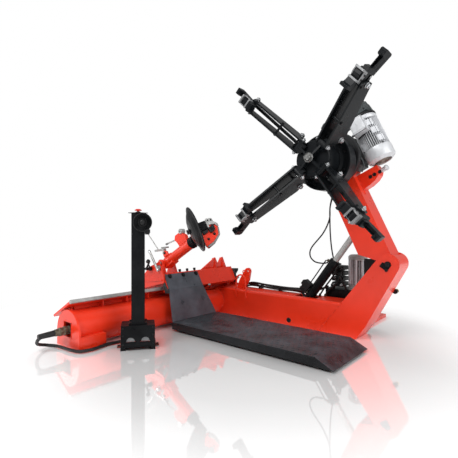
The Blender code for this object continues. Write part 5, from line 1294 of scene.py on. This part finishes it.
def add_stage():
    """A polished white floor that fades into the white of the surroundings, with a painted shadow near the
    machine and a painted glow further out.
    """
    builder = bmesh.new()
    bmesh.ops.create_grid(builder, x_segments=1, y_segments=1, size=14.0)
    mesh = bpy.data.meshes.new("floor")
    builder.to_mesh(mesh)
    builder.free()
    floor = bpy.data.objects.new("floor", mesh)
    bpy.context.scene.collection.objects.link(floor)
    mat, tree, shader = new_tree("pale_floor")
    coords = node(tree, "ShaderNodeTexCoord").outputs["Object"]
    distance = node(tree, "ShaderNodeVectorMath", operation="DISTANCE")
    distance.inputs[1].default_value = FLOOR_CENTRE
    tree.links.new(coords, distance.inputs[0])
    cloudy = ramp(tree, noise(tree, coords, 1.2, 4.0), 0.3, 0.7, 0.93, 0.96)
    # painted shadow: the floor's colour darkens towards the machine
    shaded = times(tree, cloudy, ramp(tree, distance.outputs["Value"], *FLOOR_SHADE))
    mixed = node(tree, "ShaderNodeCombineColor")
    for socket in mixed.inputs[:3]:
        tree.links.new(shaded, socket)
    tree.links.new(mixed.outputs[0], shader.inputs["Base Color"])
    shader.inputs["Roughness"].default_value = 0.5
    shader.inputs["Emission Color"].default_value = (1, 1, 1, 1)
    tree.links.new(ramp(tree, distance.outputs["Value"], *FLOOR_GLOW), shader.inputs["Emission Strength"])
    mirror = node(tree, "ShaderNodeBsdfGlossy")
    mirror.inputs["Roughness"].default_value = 0.03
    mirror.inputs["Color"].default_value = MIRROR_GAIN
    white = node(tree, "ShaderNodeEmission")
    top = shader
    for limits, layer in ((FLOOR_MIRROR, mirror), (FLOOR_FADE, white)):
        mix = node(tree, "ShaderNodeMixShader")
        tree.links.new(ramp(tree, distance.outputs["Value"], *limits), mix.inputs[0])
        tree.links.new(top.outputs[0], mix.inputs[1])
        tree.links.new(layer.outputs[0], mix.inputs[2])
        top = mix
    output = next(n for n in tree.nodes if n.type == "OUTPUT_MATERIAL")
    tree.links.new(top.outputs[0], output.inputs["Surface"])
    mesh.materials.append(mat)
    floor.location = (0, 0, -0.001)


def add_light(name, location, target, size, energy, mirrored):
    """A soft box; one that is not mirrored leaves no bright patch on the polished floor."""
    lamp = bpy.data.lights.new(name, "AREA")
    lamp.shape = "RECTANGLE"
    lamp.size, lamp.size_y = size
    lamp.energy = energy
    obj = bpy.data.objects.new(name, lamp)
    obj.visible_glossy = mirrored
    bpy.context.scene.collection.objects.link(obj)
    obj.location = location
    obj.rotation_euler = (Vector(target) - Vector(location)).to_track_quat("-Z", "Y").to_euler()


def add_camera():
    data = bpy.data.cameras.new("camera")
    data.lens = CAMERA_LENS
    data.sensor_width = 36.0
    data.shift_y = CAMERA_SHIFT
    camera = bpy.data.objects.new("camera", data)
    bpy.context.scene.collection.objects.link(camera)
    camera.location = CAMERA_PLACE
    camera.rotation_euler = (math.radians(90), 0, math.radians(CAMERA_TURN))
    bpy.context.scene.camera = camera


def add_surroundings():
    """Plain white to the eye, and a soft fill for everything else."""
    world = bpy.data.worlds.new("studio")
    bpy.context.scene.world = world
    world.use_nodes = True
    tree = world.node_tree
    sky = tree.nodes["Background"]
    sky.inputs["Color"].default_value = (1.0, 1.0, 1.0, 1.0)
    rays = node(tree, "ShaderNodeLightPath")
    tree.links.new(ramp(tree, rays.outputs["Is Camera Ray"], 0, 1, AMBIENT, 1.0), sky.inputs["Strength"])


add_stage()
for values in LIGHTS:
    add_light(*values)
add_surroundings()
bpy.context.scene.view_settings.view_transform = "Standard"
add_camera()
